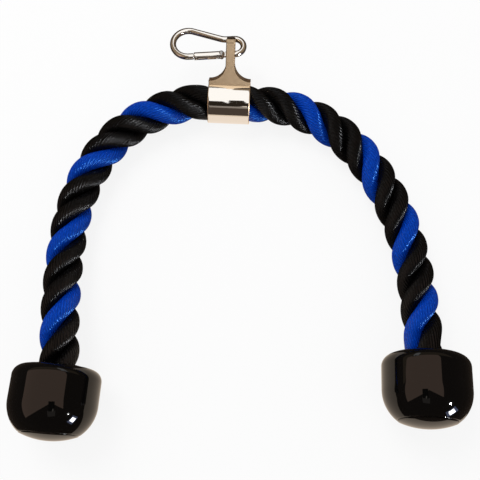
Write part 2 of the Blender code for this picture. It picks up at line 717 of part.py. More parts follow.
def main():
    clear_scene()
    parts = make_collection("triceps_rope_attachment")
    helpers = make_collection("cutters")
    route = Route()
    make_rope(route, parts, helpers)
    make_collar(route, parts, helpers)
    make_hook(route, parts, helpers)
    make_gate(route, parts, helpers)
    make_gate_fittings(route, parts)
    make_cap("left", route.knots[len(ROUTE_IN_LEFT_CAP)], route.knots[0], parts)
    make_cap("right", route.knots[-len(ROUTE_IN_RIGHT_CAP)], route.knots[-1], parts)


main()
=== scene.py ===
"""Looks of the triceps rope attachment: laid rope, polished collar, snap hook and end caps.

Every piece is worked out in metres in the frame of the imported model, from the same sizes as its
CAD node, and takes that node's place in the picture.
"""

import logging
import math
from dataclasses import dataclass
from enum import Enum, IntEnum
from typing import Any, Optional

import bpy
import numpy as np
from mathutils import Matrix, Vector


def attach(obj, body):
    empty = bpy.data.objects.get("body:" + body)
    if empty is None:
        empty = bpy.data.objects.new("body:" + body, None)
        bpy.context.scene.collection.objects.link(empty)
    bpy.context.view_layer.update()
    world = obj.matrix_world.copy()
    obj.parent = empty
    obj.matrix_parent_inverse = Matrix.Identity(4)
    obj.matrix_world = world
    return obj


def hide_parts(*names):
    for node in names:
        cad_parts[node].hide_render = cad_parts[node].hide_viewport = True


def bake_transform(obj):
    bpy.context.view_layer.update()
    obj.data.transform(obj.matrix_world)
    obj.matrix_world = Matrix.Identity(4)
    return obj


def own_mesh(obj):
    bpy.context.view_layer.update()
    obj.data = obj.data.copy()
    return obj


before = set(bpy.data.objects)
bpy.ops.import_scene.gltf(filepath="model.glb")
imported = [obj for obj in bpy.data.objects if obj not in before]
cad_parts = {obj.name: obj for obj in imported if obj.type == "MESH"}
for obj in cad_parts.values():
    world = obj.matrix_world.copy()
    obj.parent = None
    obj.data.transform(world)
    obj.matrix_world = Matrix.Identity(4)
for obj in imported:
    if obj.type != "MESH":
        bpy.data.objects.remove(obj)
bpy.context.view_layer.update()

LOG = logging.getLogger("triceps_rope")
UP = np.array((0.0, 0.0, 1.0))

# Edges steeper than this many degrees stay crisp.
CRISP = 40.0

# The band texture turns by 20 radians over one unit, so at this scale, which is taken to six
# digits, a band is one unit wide.
ONE_BAND = round(2 * math.pi / 20, 6)

# The rope's centre line from the left end to the right end, as in the CAD model, in metres from
# the route's origin.
ROUTE_ORIGIN = (-0.0096, 0.1073, 0.0001)
ROUTE = (
    (-0.1308, -0.2497, 0.0363), (-0.1291, -0.2260, 0.0329), (-0.1285, -0.2171, 0.0316),
    (-0.1299, -0.1970, 0.0288), (-0.1313, -0.1775, 0.0254), (-0.1320, -0.1583, 0.0216),
    (-0.1321, -0.1387, 0.0181), (-0.1309, -0.1187, 0.0158), (-0.1281, -0.0990, 0.0154),
    (-0.1232, -0.0796, 0.0154), (-0.1158, -0.0611, 0.0154), (-0.1055, -0.0438, 0.0154),
    (-0.0926, -0.0286, 0.0154), (-0.0769, -0.0163, 0.0156), (-0.0591, -0.0075, 0.0162),
    (-0.0395, -0.0013, 0.0170), (-0.0183, 0.0008, 0.0174), (-0.0003, 0.0, 0.0174),
    (0.0177, -0.0008, 0.0174), (0.0395, -0.0026, 0.0170), (0.0588, -0.0078, 0.0162),
    (0.0768, -0.0162, 0.0156), (0.0929, -0.0280, 0.0154), (0.1068, -0.0423, 0.0154),
    (0.1185, -0.0584, 0.0154), (0.1284, -0.0758, 0.0154), (0.1363, -0.0940, 0.0154),
    (0.1424, -0.1132, 0.0157), (0.1464, -0.1326, 0.0171), (0.1487, -0.1524, 0.0196),
    (0.1497, -0.1720, 0.0229), (0.1500, -0.1895, 0.0264), (0.1504, -0.2088, 0.0304),
    (0.1498, -0.2176, 0.0323), (0.1482, -0.2405, 0.0374),
)

# The route's points that lie in the collar's middle and at the mouths of the caps.
COLLAR_KNOT = 17
LEFT_MOUTH_KNOT = 2
RIGHT_MOUTH_KNOT = 32


def linear(code: str) -> tuple[float, float, float, float]:
    """Turns an sRGB hex colour into linear light.

    Args:
        code: Six hex digits, such as "1E50C8".

    Returns:
        The linear red, green and blue, and an alpha of 1.
    """
    shares = [int(code[at:at + 2], 16) / 255 for at in (0, 2, 4)]
    light = [v / 12.92 if v <= 0.04045 else ((v + 0.055) / 1.055) ** 2.4 for v in shares]
    return (*light, 1.0)


def feed(tree: bpy.types.NodeTree, node: bpy.types.Node, links: dict) -> None:
    """Says what goes into a node's sockets.

    Args:
        tree: The node tree.
        node: The node.
        links: Input socket name or number to a value, or to the output socket that feeds it, or
            to the node whose first output does.
    """
    for key, value in links.items():
        if isinstance(value, bpy.types.Node):
            value = value.outputs[0]
        if isinstance(value, bpy.types.NodeSocket):
            tree.links.new(value, node.inputs[key])
        else:
            node.inputs[key].default_value = value


def add_node(tree: bpy.types.NodeTree, kind: str, links: Optional[dict] = None,
             stops: tuple[tuple[float, str], ...] = (), **settings: Any) -> bpy.types.Node:
    """Adds a node with its settings and what goes into its sockets.

    Args:
        tree: The node tree.
        kind: The node's type, such as "ShaderNodeMath".
        links: What goes into its sockets, as feed takes it.
        stops: A colour ramp's places from 0 to 1 and their sRGB hex colours, in rising order.
        **settings: The node's own properties.

    Returns:
        The new node.
    """
    node = tree.nodes.new(kind)
    for name, value in settings.items():
        setattr(node, name, value)
    feed(tree, node, links or {})
    for number, (place, code) in enumerate(stops):
        marks = node.color_ramp.elements
        mark = marks[number] if number < len(marks) else marks.new(place)
        mark.position, mark.color = place, linear(code)
    return node


def new_material(name: str) -> tuple[bpy.types.Material, bpy.types.NodeTree, bpy.types.Node]:
    """Makes an empty Principled material.

    Args:
        name: The material's name.

    Returns:
        The material, its node tree and its Principled shader.
    """
    material = bpy.data.materials.new(name)
    material.use_nodes = True
    tree = material.node_tree
    return material, tree, tree.nodes["Principled BSDF"]


# Surfaces.


@dataclass
class Skin:
    """A surface given as a grid of points that face outwards.

    Rows run along the shape and columns run anticlockwise round the direction of the rows.

    Attributes:
        points: Rows by columns by three, in metres.
        wrap_rows: The last row joins the first.
        close_start: The first row is closed round one middle point.
        close_end: The last row is closed round one middle point.
        uv: Rows by (columns + 1) by two, or None.
        finish: Material index of the faces: one for all, for each column, or for each face.
        lean: The faces are split from a row's next point to the next row's own point.
    """

    points: np.ndarray
    wrap_rows: bool = False
    close_start: bool = False
    close_end: bool = False
    uv: Optional[np.ndarray] = None
    finish: Any = 0
    lean: bool = False

    def faces(self, start: int) -> tuple[np.ndarray, np.ndarray, np.ndarray, np.ndarray]:
        """Works out the faces.

        Args:
            start: Number of the first point in the joined mesh.

        Returns:
            Quads, triangles of the closed ends, the quads' material indices and their UVs.
        """
        rows, columns = self.points.shape[:2]
        upper = np.arange(rows if self.wrap_rows else rows - 1)
        i, j = np.meshgrid(upper, np.arange(columns), indexing="ij")
        below, right = (i + 1) % rows, (j + 1) % columns
        quads = np.stack((i * columns + j, i * columns + right,
                          below * columns + right, below * columns + j), -1).reshape(-1, 4) + start
        finish = np.broadcast_to(np.asarray(self.finish), (len(upper), columns)).reshape(-1)
        uv = np.zeros((len(quads), 4, 2))
        if self.uv is not None:
            corner = self.uv
            uv = np.stack((corner[i, j], corner[i, j + 1], corner[below, j + 1], corner[below, j]),
                          2).reshape(-1, 4, 2)
        if self.lean:
            quads, uv = np.roll(quads, -1, 1), np.roll(uv, -1, 1)
        across = np.arange(columns)
        fans = []
        middle = start + rows * columns
        if self.close_start:
            fans.append(np.stack((np.full(columns, middle), (across + 1) % columns + start,
                                  across + start), -1))
            middle += 1
        if self.close_end:
            last = start + (rows - 1) * columns
            fans.append(np.stack((np.full(columns, middle), across + last,
                                  (across + 1) % columns + last), -1))
        triangles = np.concatenate(fans) if fans else np.zeros((0, 3), int)
        return quads, triangles, finish, uv

    def vertices(self) -> np.ndarray:
        """Lists all points, with the middle points of closed ends after the grid.

        Returns:
            The points, in the order in which the faces count them.
        """
        extra = []
        if self.close_start:
            extra.append(self.points[0].mean(0))
        if self.close_end:
            extra.append(self.points[-1].mean(0))
        grid = self.points.reshape(-1, 3)
        return np.concatenate((grid, np.array(extra))) if extra else grid


def make_object(name: str, skins: list[Skin], materials: list[bpy.types.Material],
                sharp: float = CRISP) -> bpy.types.Object:
    """Joins surfaces into one mesh object at the origin.

    Args:
        name: The object's name.
        skins: The surfaces.
        materials: The object's materials, in the order of the skins' indices.
        sharp: Edges steeper than this many degrees stay crisp.

    Returns:
        The linked object.
    """
    points, quads, triangles, finishes, uvs, start = [], [], [], [], [], 0
    for skin in skins:
        fours, threes, finish, uv = skin.faces(start)
        points.append(skin.vertices())
        quads.append(fours)
        triangles.append(threes)
        finishes.append(finish)
        uvs.append(uv)
        start += len(points[-1])
    points, quads, triangles = (np.concatenate(item) for item in (points, quads, triangles))
    finishes, uvs = np.concatenate(finishes), np.concatenate(uvs)
    corners = np.concatenate((quads.reshape(-1), triangles.reshape(-1)))
    counts = np.concatenate((np.full(len(quads), 4), np.full(len(triangles), 3)))
    starts = np.concatenate(((0,), np.cumsum(counts)[:-1]))
    mesh = bpy.data.meshes.new(name)
    mesh.vertices.add(len(points))
    mesh.vertices.foreach_set("co", points.astype(np.float32).reshape(-1))
    mesh.loops.add(len(corners))
    mesh.loops.foreach_set("vertex_index", corners.astype(np.int32))
    mesh.polygons.add(len(counts))
    mesh.polygons.foreach_set("loop_start", starts.astype(np.int32))
    for material in materials:
        mesh.materials.append(material)
    indices = np.concatenate((finishes, np.zeros(len(triangles), int)))
    mesh.polygons.foreach_set("material_index", indices.astype(np.int32))
    layer = mesh.uv_layers.new(name="Lay")
    flat = np.concatenate((uvs.reshape(-1), np.zeros(len(triangles) * 6)))
    layer.data.foreach_set("uv", flat.astype(np.float32))
    mesh.update(calc_edges=True)
    mesh.validate()
    mesh.shade_smooth()
    mesh.set_sharp_from_angle(angle=math.radians(sharp))
    item = bpy.data.objects.new(name, mesh)
    bpy.context.scene.collection.objects.link(item)
    return item


def arc(centre: tuple[float, float], radius: float, start: float, end: float,
        steps: int) -> np.ndarray:
    """Points of an arc in a plane.

    Args:
        centre: The arc's centre.
        radius: Its radius.
        start: First angle in degrees.
        end: Last angle in degrees.
        steps: Number of parts.

    Returns:
        The points, centre + radius times (cosine, sine) of evenly spaced angles.
    """
    angle = np.radians(np.linspace(start, end, steps + 1))
    return np.stack((centre[0] + radius * np.cos(angle), centre[1] + radius * np.sin(angle)), -1)


def distances(points: np.ndarray) -> np.ndarray:
    """Returns how far each point of a line lies along it, as the sum of the steps up to it."""
    steps = np.linalg.norm(np.diff(points, axis=0), axis=1)
    return np.concatenate(((0.0,), np.cumsum(steps)))


def places_along(points: np.ndarray, spots: Any) -> np.ndarray:
    """Finds points of a line by how far they lie along it.

    Args:
        points: The line's points.
        spots: Distances from the first point.

    Returns:
        The points at these distances, on the straight stretches between the line's points.
    """
    reach = distances(points)
    return np.stack([np.interp(spots, reach, column) for column in points.T], -1)


def fine_profile(points: np.ndarray, spacing: float) -> np.ndarray:
    """Adds points on the long straight parts of a profile.

    Args:
        points: The profile.
        spacing: Longest distance between points.

    Returns:
        The profile with a point at most spacing from the next.
    """
    reach = distances(points)
    stops = [reach[0]]
    for before, after in zip(reach[:-1], reach[1:]):
        count = max(1, math.ceil((after - before) / spacing))
        stops.extend(np.linspace(before, after, count + 1)[1:])
    return places_along(points, stops)


def joined(*parts: Any) -> np.ndarray:
    """Joins points and lists of points into one profile.

    Args:
        *parts: Single points, and arrays of points.

    Returns:
        All the points, one after the other.
    """
    return np.concatenate([np.atleast_2d(np.array(part, float)) for part in parts])


def turned(profile: np.ndarray, place: Matrix, columns: int, ring: bool = False) -> Skin:
    """Turns a profile of (radius, depth) round the Z axis of a placement.

    A point is radius times (cosine, sine) of its column's angle in the plane, at the depth.

    Args:
        profile: Points with the solid on the left of their direction, radius first.
        place: The placement whose Z axis is the axis of the shape.
        columns: Points round the axis.
        ring: The profile is closed by itself and keeps off the axis.

    Returns:
        The surface, closed at the ends that lie on the axis.
    """
    angle = np.linspace(0, 2 * math.pi, columns, endpoint=False)
    rows = profile if ring else profile[1:-1]
    flat = np.stack((rows[:, :1] * np.cos(angle), rows[:, :1] * np.sin(angle),
                     np.broadcast_to(rows[:, 1:], (len(rows), columns))), -1)
    return Skin(placed(flat, place), wrap_rows=ring, close_start=not ring, close_end=not ring)


def placed(points: np.ndarray, place: Matrix) -> np.ndarray:
    """Moves points from a placement's own axes to the frame.

    Args:
        points: Points whose last axis is three long.
        place: The placement.

    Returns:
        The rotation times each point, plus the place's origin.
    """
    whole = np.array(place)
    return points @ whole[:3, :3].T + whole[:3, 3]


def swept(path: np.ndarray, first: Any, second: Any, section: np.ndarray,
          place: Optional[Matrix] = None) -> Skin:
    """Carries a section along a path.

    A point is the path's point plus the section's two numbers times the two side directions.

    Args:
        path: Rows by three.
        first: The side direction of the section's first number, for all rows or for each.
        second: The other side direction; first times second points along the path.
        section: Rows by columns by two, or columns by two.
        place: The placement in whose own axes all this is given, or None for the frame's axes.

    Returns:
        The closed surface.
    """
    first, second = (np.broadcast_to(side, path.shape)[:, None] for side in (first, second))
    section = np.broadcast_to(section, (len(path), *section.shape[-2:]))
    points = path[:, None] + section[..., :1] * first + section[..., 1:] * second
    if place is not None:
        points = placed(points, place)
    return Skin(points, close_start=True, close_end=True)


def rounded_ends(length: float, radius: float, edge: float,
                 spacing: float) -> tuple[np.ndarray, np.ndarray]:
    """Rows of a bar whose end rims are rounded.

    Args:
        length: The bar's length.
        radius: Its radius.
        edge: Radius of the rounded rims.
        spacing: Distance between the rows in between.

    Returns:
        The rows' distances along the bar, and their radii as shares of the full radius.
    """
    sweep = np.radians(np.linspace(0, 90, 7))
    start, narrow = edge * (1 - np.cos(sweep)), radius - edge * (1 - np.sin(sweep))
    middle = np.linspace(edge, length - edge, max(2, round(length / spacing)))[1:-1]
    along = np.concatenate((start, middle, length - start[::-1]))
    wide = np.concatenate((narrow, np.full(len(middle), radius), narrow[::-1]))
    return along, wide / radius


# Finishes.


@dataclass(frozen=True)
class LaidPolypropylene:
    """Strand of extruded polypropylene yarns that lie side by side.

    It looks like a satin plastic, deep in colour, with painted shade that darkens it between the
    yarns, and broken pale streaks where their crowns catch the light, partly real gloss and partly
    a painted highlight on the raised fibres.

    Attributes:
        name: Material name.
        body: Colour of the yarns.
        lit: Painted highlight: the lighter colour given to their raised fibres.
        shade: Painted shade: the darker colour given between the yarns and between the fibres.
        gleam: Colour of the light that the yarns throw back.
        gloss: How much of it they throw back.
        yarn: Distance between yarns. The real ones are about 1.5 mm apart, and are drawn coarser
            so that they show and the mesh can carry their grooves.
        fibre: Width of a fibre. The real ones are thinner than a pixel, and are drawn coarser
            so that they show.
    """

    name: str
    body: str
    lit: str
    shade: str
    gleam: str
    gloss: float
    yarn: float = 0.0022
    fibre: float = 0.0006

    def build(self) -> bpy.types.Material:
        """Makes the material: yarns side by side along the rope, each of twisted fibres.

        Returns:
            The material.
        """
        material, tree, shader = new_material(self.name)
        lay = add_node(tree, "ShaderNodeUVMap", uv_map="Lay")
        # One unit across is one yarn, and slow patches along the yarns vary their gloss.
        across = add_node(tree, "ShaderNodeMapping", {0: lay, "Scale": (1 / self.yarn, 0.12 / self.yarn, 1)})
        wander = add_node(tree, "ShaderNodeTexNoise", {"Vector": across, "Scale": 0.6, "Detail": 2.0},
                          noise_dimensions="2D")
        yarns = add_node(tree, "ShaderNodeTexWave", {"Vector": across, "Scale": ONE_BAND,
                         "Distortion": 1.2, "Detail": 1.0},
                         wave_type="BANDS", bands_direction="X", wave_profile="SIN")
        # The fibres lie aslant in each yarn, because it is twisted.
        slant = add_node(tree, "ShaderNodeMapping", {0: lay, "Rotation": (0, 0, math.radians(24)),
                         "Scale": (1 / self.fibre, 0.25 / self.fibre, 1)})
        fibres = add_node(tree, "ShaderNodeTexNoise", {"Vector": slant, "Scale": 1.0, "Detail": 3.0,
                          "Roughness": 0.6}, noise_dimensions="2D")
        # Painted highlight and painted shade in the fibres: the raised ones take the lit colour and the low
        # ones the shade colour.
        tone = add_node(tree, "ShaderNodeValToRGB", {0: fibres},
                        ((0.30, self.shade), (0.52, self.body), (0.78, self.lit)))
        # Painted shade: the colour falls towards the shade colour between the yarns, but never all the way.
        crown = add_node(tree, "ShaderNodeMath", {0: yarns.outputs["Fac"], 1: 0.55}, operation="MULTIPLY")
        dark = add_node(tree, "ShaderNodeMath", {0: crown, 1: 0.45}, operation="ADD")
        mixed = add_node(tree, "ShaderNodeMix", {"Factor": dark, "A": linear(self.shade), "B": tone},
                         data_type="RGBA")
        # The relief is the yarns' round crowns with the fibres on them.
        fuzz = add_node(tree, "ShaderNodeMath", {0: fibres, 1: 0.28}, operation="MULTIPLY")
        height = add_node(tree, "ShaderNodeMath", {0: yarns.outputs["Fac"], 1: 0.55, 2: fuzz},
                          operation="MULTIPLY_ADD")
        bump = add_node(tree, "ShaderNodeBump", {"Strength": 1.0, "Distance": 0.0007, "Height": height})
        rough = add_node(tree, "ShaderNodeMapRange", {0: wander, "To Min": 0.20, "To Max": 0.32})
        feed(tree, shader, {"Base Color": mixed.outputs["Result"], "Normal": bump, "Roughness": rough,
             "Specular IOR Level": self.gloss, "Specular Tint": linear(self.gleam)})
        return material


@dataclass(frozen=True)
class NickelPlate:
    """Nickel plate over a casting or a wire.

    It looks like a warm mirror, sharp where the metal was polished and blurred to one tone where
    it was only tumbled, with faint polishing marks and slow waves.

    Attributes:
        name: Material name.
        colour: Colour of the plate.
        roughness: Middle roughness.
        ripple: Height of the casting's slow waves, in metres.
        grain: Spacing of the polishing marks, in metres.
    """

    name: str
    colour: str = "EEE9E2"
    roughness: float = 0.10
    ripple: float = 0.00006
    grain: float = 0.0004

    def build(self) -> bpy.types.Material:
        """Makes the material: metal whose roughness varies along fine marks, on slow waves.

        Returns:
            The material.
        """
        material, tree, shader = new_material(self.name)
        spot = add_node(tree, "ShaderNodeTexCoord").outputs["Object"]
        # Marks one grain wide and about eight times as long, along X.
        marks = add_node(tree, "ShaderNodeMapping", {0: spot,
                         "Scale": (0.12 / self.grain, 1 / self.grain, 1 / self.grain)})
        fine = add_node(tree, "ShaderNodeTexNoise", {"Vector": marks, "Scale": 1.0, "Detail": 2.0})
        rough = add_node(tree, "ShaderNodeMapRange", {0: fine, "To Min": self.roughness * 0.8,
                         "To Max": self.roughness * 1.25})
        # Waves about 11 mm long, left by the casting or the bending.
        slow = add_node(tree, "ShaderNodeTexNoise", {"Vector": spot, "Scale": 90.0, "Detail": 1.0})
        bump = add_node(tree, "ShaderNodeBump", {"Strength": 0.5, "Distance": self.ripple, "Height": slow})
        feed(tree, shader, {"Base Color": linear(self.colour), "Metallic": 1.0, "Roughness": rough,
             "Normal": bump})
        return material


@dataclass(frozen=True)
class ZincPlate:
    """Zinc plate on turned or wound steel, plated in a barrel.

    It looks plain grey and half matt, with soft clouds a few millimetres across.

    Attributes:
        name: Material name.
        cloud: Width of the clouds, in metres.
    """

    name: str
    cloud: float = 0.0025

    def build(self) -> bpy.types.Material:
        """Makes the material: cloudy grey metal.

        Returns:
            The material.
        """
        material, tree, shader = new_material(self.name)
        spot = add_node(tree, "ShaderNodeTexCoord").outputs["Object"]
        cloud = add_node(tree, "ShaderNodeTexNoise", {"Vector": spot, "Scale": 1 / self.cloud,
                         "Detail": 3.0})
        tone = add_node(tree, "ShaderNodeValToRGB", {0: cloud}, ((0.3, "9C9C9E"), (0.7, "C4C4C2")))
        rough = add_node(tree, "ShaderNodeMapRange", {0: cloud, "To Min": 0.28, "To Max": 0.45})
        feed(tree, shader, {"Base Color": tone, "Metallic": 1.0, "Roughness": rough})
        return material


@dataclass(frozen=True)
class MouldedAbs:
    """Black ABS from a polished mould.

    It looks deep black and wet, with clear reflections that waver a little where the plastic
    flowed, and a thin haze from handling.

    Attributes:
        name: Material name.
        colour: Colour of the plastic.
    """

    name: str
    colour: str = "050505"

    def build(self) -> bpy.types.Material:
        """Makes the material: gloss with slow waves and a little handling haze.

        Returns:
            The material.
        """
        material, tree, shader = new_material(self.name)
        spot = add_node(tree, "ShaderNodeTexCoord").outputs["Object"]
        # Haze in patches about 17 mm wide.
        haze = add_node(tree, "ShaderNodeTexNoise", {"Vector": spot, "Scale": 60.0, "Detail": 4.0})
        rough = add_node(tree, "ShaderNodeMapRange", {0: haze, "To Min": 0.02, "To Max": 0.06})
        # Waves about 29 mm long, left by the flow of the plastic.
        slow = add_node(tree, "ShaderNodeTexNoise", {"Vector": spot, "Scale": 35.0, "Detail": 1.0})
        bump = add_node(tree, "ShaderNodeBump", {"Strength": 0.3, "Distance": 0.00005, "Height": slow})
        feed(tree, shader, {"Base Color": linear(self.colour), "IOR": 1.47, "Roughness": rough,
             "Normal": bump})
        return material


# Rope.


class Side(Enum):
    """The two legs of the rope."""

    LEFT = "left"
    RIGHT = "right"

    @property
    def sign(self) -> int:
        """Returns -1 for the left leg and 1 for the right leg."""
        return -1 if self is Side.LEFT else 1


class Route:
    """The rope's centre line, a smooth curve through the route's own points.

    Attributes:
        knots: The route's points.
        line: Fine points of the curve.
        reach: Distance of each fine point from the left end.
        collar: Distance of the collar's middle from the left end.
        FINE: Fine points from one knot to the next.
        LOOK_AHEAD: Distance before and after a place over which its direction is taken.
    """

    FINE = 24
    LOOK_AHEAD = 0.004

    def __init__(self) -> None:
        """Works the curve out.

        Between two knots it is the Hermite cubic whose slopes are half the chord over the
        neighbours, and the chord itself at the ends.
        """
        knots = np.array(ROUTE) + np.array(ROUTE_ORIGIN)
        slopes = np.empty_like(knots)
        slopes[1:-1] = (knots[2:] - knots[:-2]) / 2
        slopes[0], slopes[-1] = knots[1] - knots[0], knots[-1] - knots[-2]
        t = (np.arange(self.FINE) / self.FINE)[None, :, None]
        start, end = knots[:-1, None], knots[1:, None]
        leave, arrive = slopes[:-1, None], slopes[1:, None]
        curve = (start * (2 * t**3 - 3 * t**2 + 1) + leave * (t**3 - 2 * t**2 + t)
                 + end * (3 * t**2 - 2 * t**3) + arrive * (t**3 - t**2))
        self.knots = knots
        self.line = np.concatenate((curve.reshape(-1, 3), knots[-1:]))
        self.reach = distances(self.line)
        self.collar = self.reach[COLLAR_KNOT * self.FINE]

    def at(self, reach: np.ndarray) -> np.ndarray:
        """Returns the points at the given distances from the left end."""
        return places_along(self.line, reach)

    def heading(self, reach: np.ndarray) -> np.ndarray:
        """Returns the unit directions towards the right end at the given distances."""
        ahead = self.at(reach + self.LOOK_AHEAD) - self.at(reach - self.LOOK_AHEAD)
        return ahead / np.linalg.norm(ahead, axis=-1, keepdims=True)


@dataclass
class RopeLeg:
    """Half of the rope, from the middle of the collar to one end: three laid strands.

    Attributes:
        side: Which half it is.
        route: The rope's centre line.
        phase: Turn of the blue strand at the left end of the whole rope, in degrees.
        pitch: Length of one turn of the lay.
        diameter: The rope's diameter, over its strands; not used.
        centre: Distance of a strand's middle from the rope's middle.
        depth: Half a strand's section, from the rope's middle outwards.
        breadth: Half a strand's section, round the rope.
        yarn: Distance between yarns, the same as in the strands' material.
        groove: Depth of the grooves between yarns.
        bend_reach: Distance from the collar's middle at which a bend point is worked out, though nothing is
            made from it.
        blend_half: How far before and after a bend point the leg would bend; not used.
        held_back: Places where the lay is turned back: distance from the left end, degrees
            there, and the distance over which that fades.
        STRANDS: How many strands are laid together.
        SAMPLES: Grid points for each yarn: one in its groove and the others on its crown.
    """

    side: Side
    route: Route
    phase: float
    pitch: float = 0.0660
    diameter: float = 0.030
    centre: float = 0.0082
    depth: float = 0.0068
    breadth: float = 0.0086
    yarn: float = 0.0022
    groove: float = 0.00030
    bend_reach: float = 0.070
    blend_half: float = 0.050
    held_back: tuple[tuple[float, float, float], ...] = ()

    STRANDS = 3
    SAMPLES = 3

    @property
    def span(self) -> tuple[float, float]:
        """The leg's stretch of the rope.

        Returns:
            The distances of its two ends from the rope's left end.
        """
        if self.side is Side.LEFT:
            return 0.0, self.route.collar
        return self.route.collar, self.route.reach[-1]

    def ellipse(self, angle: np.ndarray) -> np.ndarray:
        """Returns the strand's middle plus (depth times the cosine, breadth times the sine)."""
        return np.stack((self.centre + self.depth * np.cos(angle), self.breadth * np.sin(angle)), -1)

    def section(self) -> tuple[np.ndarray, np.ndarray]:
        """Works out one strand's visible outline, as far as the strand beside it.

        The outline is an ellipse round the strand's middle, from the point that lies 60 degrees
        before the strand's own direction, seen from the rope's middle, to 60 degrees after.

        Returns:
            Outline points (outwards, round the rope), a third of a yarn apart, and the
            directions into the strand there.
        """
        angle = np.radians(np.linspace(0, 175, 1401))
        outward, around = self.ellipse(angle).T
        last = angle[np.argmax(np.arctan2(around, outward) >= math.pi / self.STRANDS)]
        fine = self.ellipse(np.linspace(-last, last, 801))
        girth = distances(fine)[-1]
        points = places_along(fine, np.linspace(0, girth, round(self.SAMPLES * girth / self.yarn) + 1))
        ahead = np.gradient(points, axis=0)
        inwards = np.stack((-ahead[:, 1], ahead[:, 0]), -1)
        return points, inwards / np.linalg.norm(inwards, axis=1, keepdims=True)

    def lay(self, reach: np.ndarray) -> np.ndarray:
        """Works out how far the lay has turned.

        The angle grows by a full turn for each pitch, less a bell curve where the lay is held
        back.

        Args:
            reach: Distances from the left end.

        Returns:
            The angles of the blue strand there.
        """
        angle = 2 * math.pi * reach / self.pitch + math.radians(self.phase)
        for place, degrees, fade in self.held_back:
            angle = angle - math.radians(degrees) * np.exp(-(((reach - place) / fade) ** 2))
        return angle

    def rows(self) -> np.ndarray:
        """Spaces the rows of the grid.

        From row to row the lay turns by as much as one column is wide, so that each yarn, which
        runs along the rope, goes from a point to the point of the next row one column back.

        Returns:
            The rows' distances from the left end.
        """
        fine = np.linspace(*self.span, 4001)
        turned_by = (self.centre + self.depth) * self.lay(fine)
        count = round(self.SAMPLES * (turned_by[-1] - turned_by[0]) / self.yarn) + 1
        return np.interp(np.linspace(turned_by[0], turned_by[-1], count), turned_by, fine)

    def build(self, materials: list[bpy.types.Material]) -> bpy.types.Object:
        """Makes the leg and says what it stands for.

        A point is the centre line's point plus the section's point turned by the lay's angle at
        that distance. The row's number plus the column's is the same all along a yarn, so every
        third of these sums is pressed in as a groove, which fades out in the last two columns
        beside the next strand, and the UV map counts them in metres across the yarns.

        Args:
            materials: The black and the blue strand's material.

        Returns:
            The leg's object.
        """
        reach = self.rows()
        path, ahead = self.route.at(reach), self.route.heading(reach)
        first = UP - (ahead @ UP)[:, None] * ahead
        first /= np.linalg.norm(first, axis=1, keepdims=True)
        second = np.cross(ahead, first)
        outline, inwards = self.section()
        column = np.arange(len(outline))
        count = np.arange(len(reach))[:, None] + column
        share = np.clip(np.minimum(column, column[::-1]) / 2, 0, 1)
        groove = self.groove * share * (count % self.SAMPLES == 0)
        dented = outline + groove[..., None] * inwards
        along = np.broadcast_to(reach[:, None], count.shape)
        parts, uvs, finish = [], [], []
        for strand in range(self.STRANDS):
            angle = (self.lay(reach) + strand * 2 * math.pi / self.STRANDS)[:, None]
            x = dented[..., 0] * np.cos(angle) - dented[..., 1] * np.sin(angle)
            y = dented[..., 0] * np.sin(angle) + dented[..., 1] * np.cos(angle)
            parts.append(np.stack((x, y), -1))
            # The strands take different stretches of the pattern, 50 yarns apart.
            across = count * self.yarn / self.SAMPLES + strand * 50 * self.yarn
            uvs.append(np.stack((across, along), -1))
            finish.append(np.full(len(outline), 1 if strand == 0 else 0))
        uv = np.concatenate(uvs, 1)
        skin = swept(path, first, second, np.concatenate(parts, 1))
        skin.uv = np.concatenate((uv, uv[:, -1:]), 1)
        skin.finish, skin.lean = np.concatenate(finish), True
        item = make_object(f"laid_rope_{self.side.value}", [skin], materials, sharp=70.0)
        self.declare(item)
        return item

    def declare(self, item: bpy.types.Object) -> None:
        """Hides what the leg replaces, bakes its placement into its mesh, and reports how long it is.

        Args:
            item: The leg's object.
        """
        sign, leg = self.side.sign, f"{self.side.value}_leg"
        bend = self.route.collar + sign * self.bend_reach
        pivot, out = self.route.at(bend), self.route.heading(bend) * sign
        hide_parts(f"rope_{self.side.value}", "rope_centre")
        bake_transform(item)
        start, end = self.span
        path = self.route.at(np.linspace(start, end, 40)[::sign])
        LOG.info("%s: %.0f mm of three-strand rope", item.name, (end - start) * 1000)


# Collar.


def rounded_box(half_wide: np.ndarray, half_deep: np.ndarray, edge: float, steps: int) -> np.ndarray:
    """Sections of a bar with rounded edges.

    Each corner is a quarter circle round a middle that lies one edge radius inside both sides.
    Where a row is thinner than that, the radius is nearly its smaller half.

    Args:
        half_wide: Half the width of each row.
        half_deep: Half the depth of each row.
        edge: Radius of the long edges.
        steps: Parts of each corner.

    Returns:
        Rows by columns by two, anticlockwise.
    """
    quarter = np.radians(np.linspace(0, 90, steps + 1))
    nearly = 0.98
    radius = np.minimum(edge, nearly * np.minimum(half_wide, half_deep))[:, None]
    sections = []
    for turn, (sign_x, sign_y) in enumerate(((1, 1), (-1, 1), (-1, -1), (1, -1))):
        angle = quarter + turn * math.pi / 2
        x = sign_x * (half_wide[:, None] - radius) + radius * np.cos(angle)
        y = sign_y * (half_deep[:, None] - radius) + radius * np.sin(angle)
        sections.append(np.stack((x, y), -1))
    return np.concatenate(sections, 1)


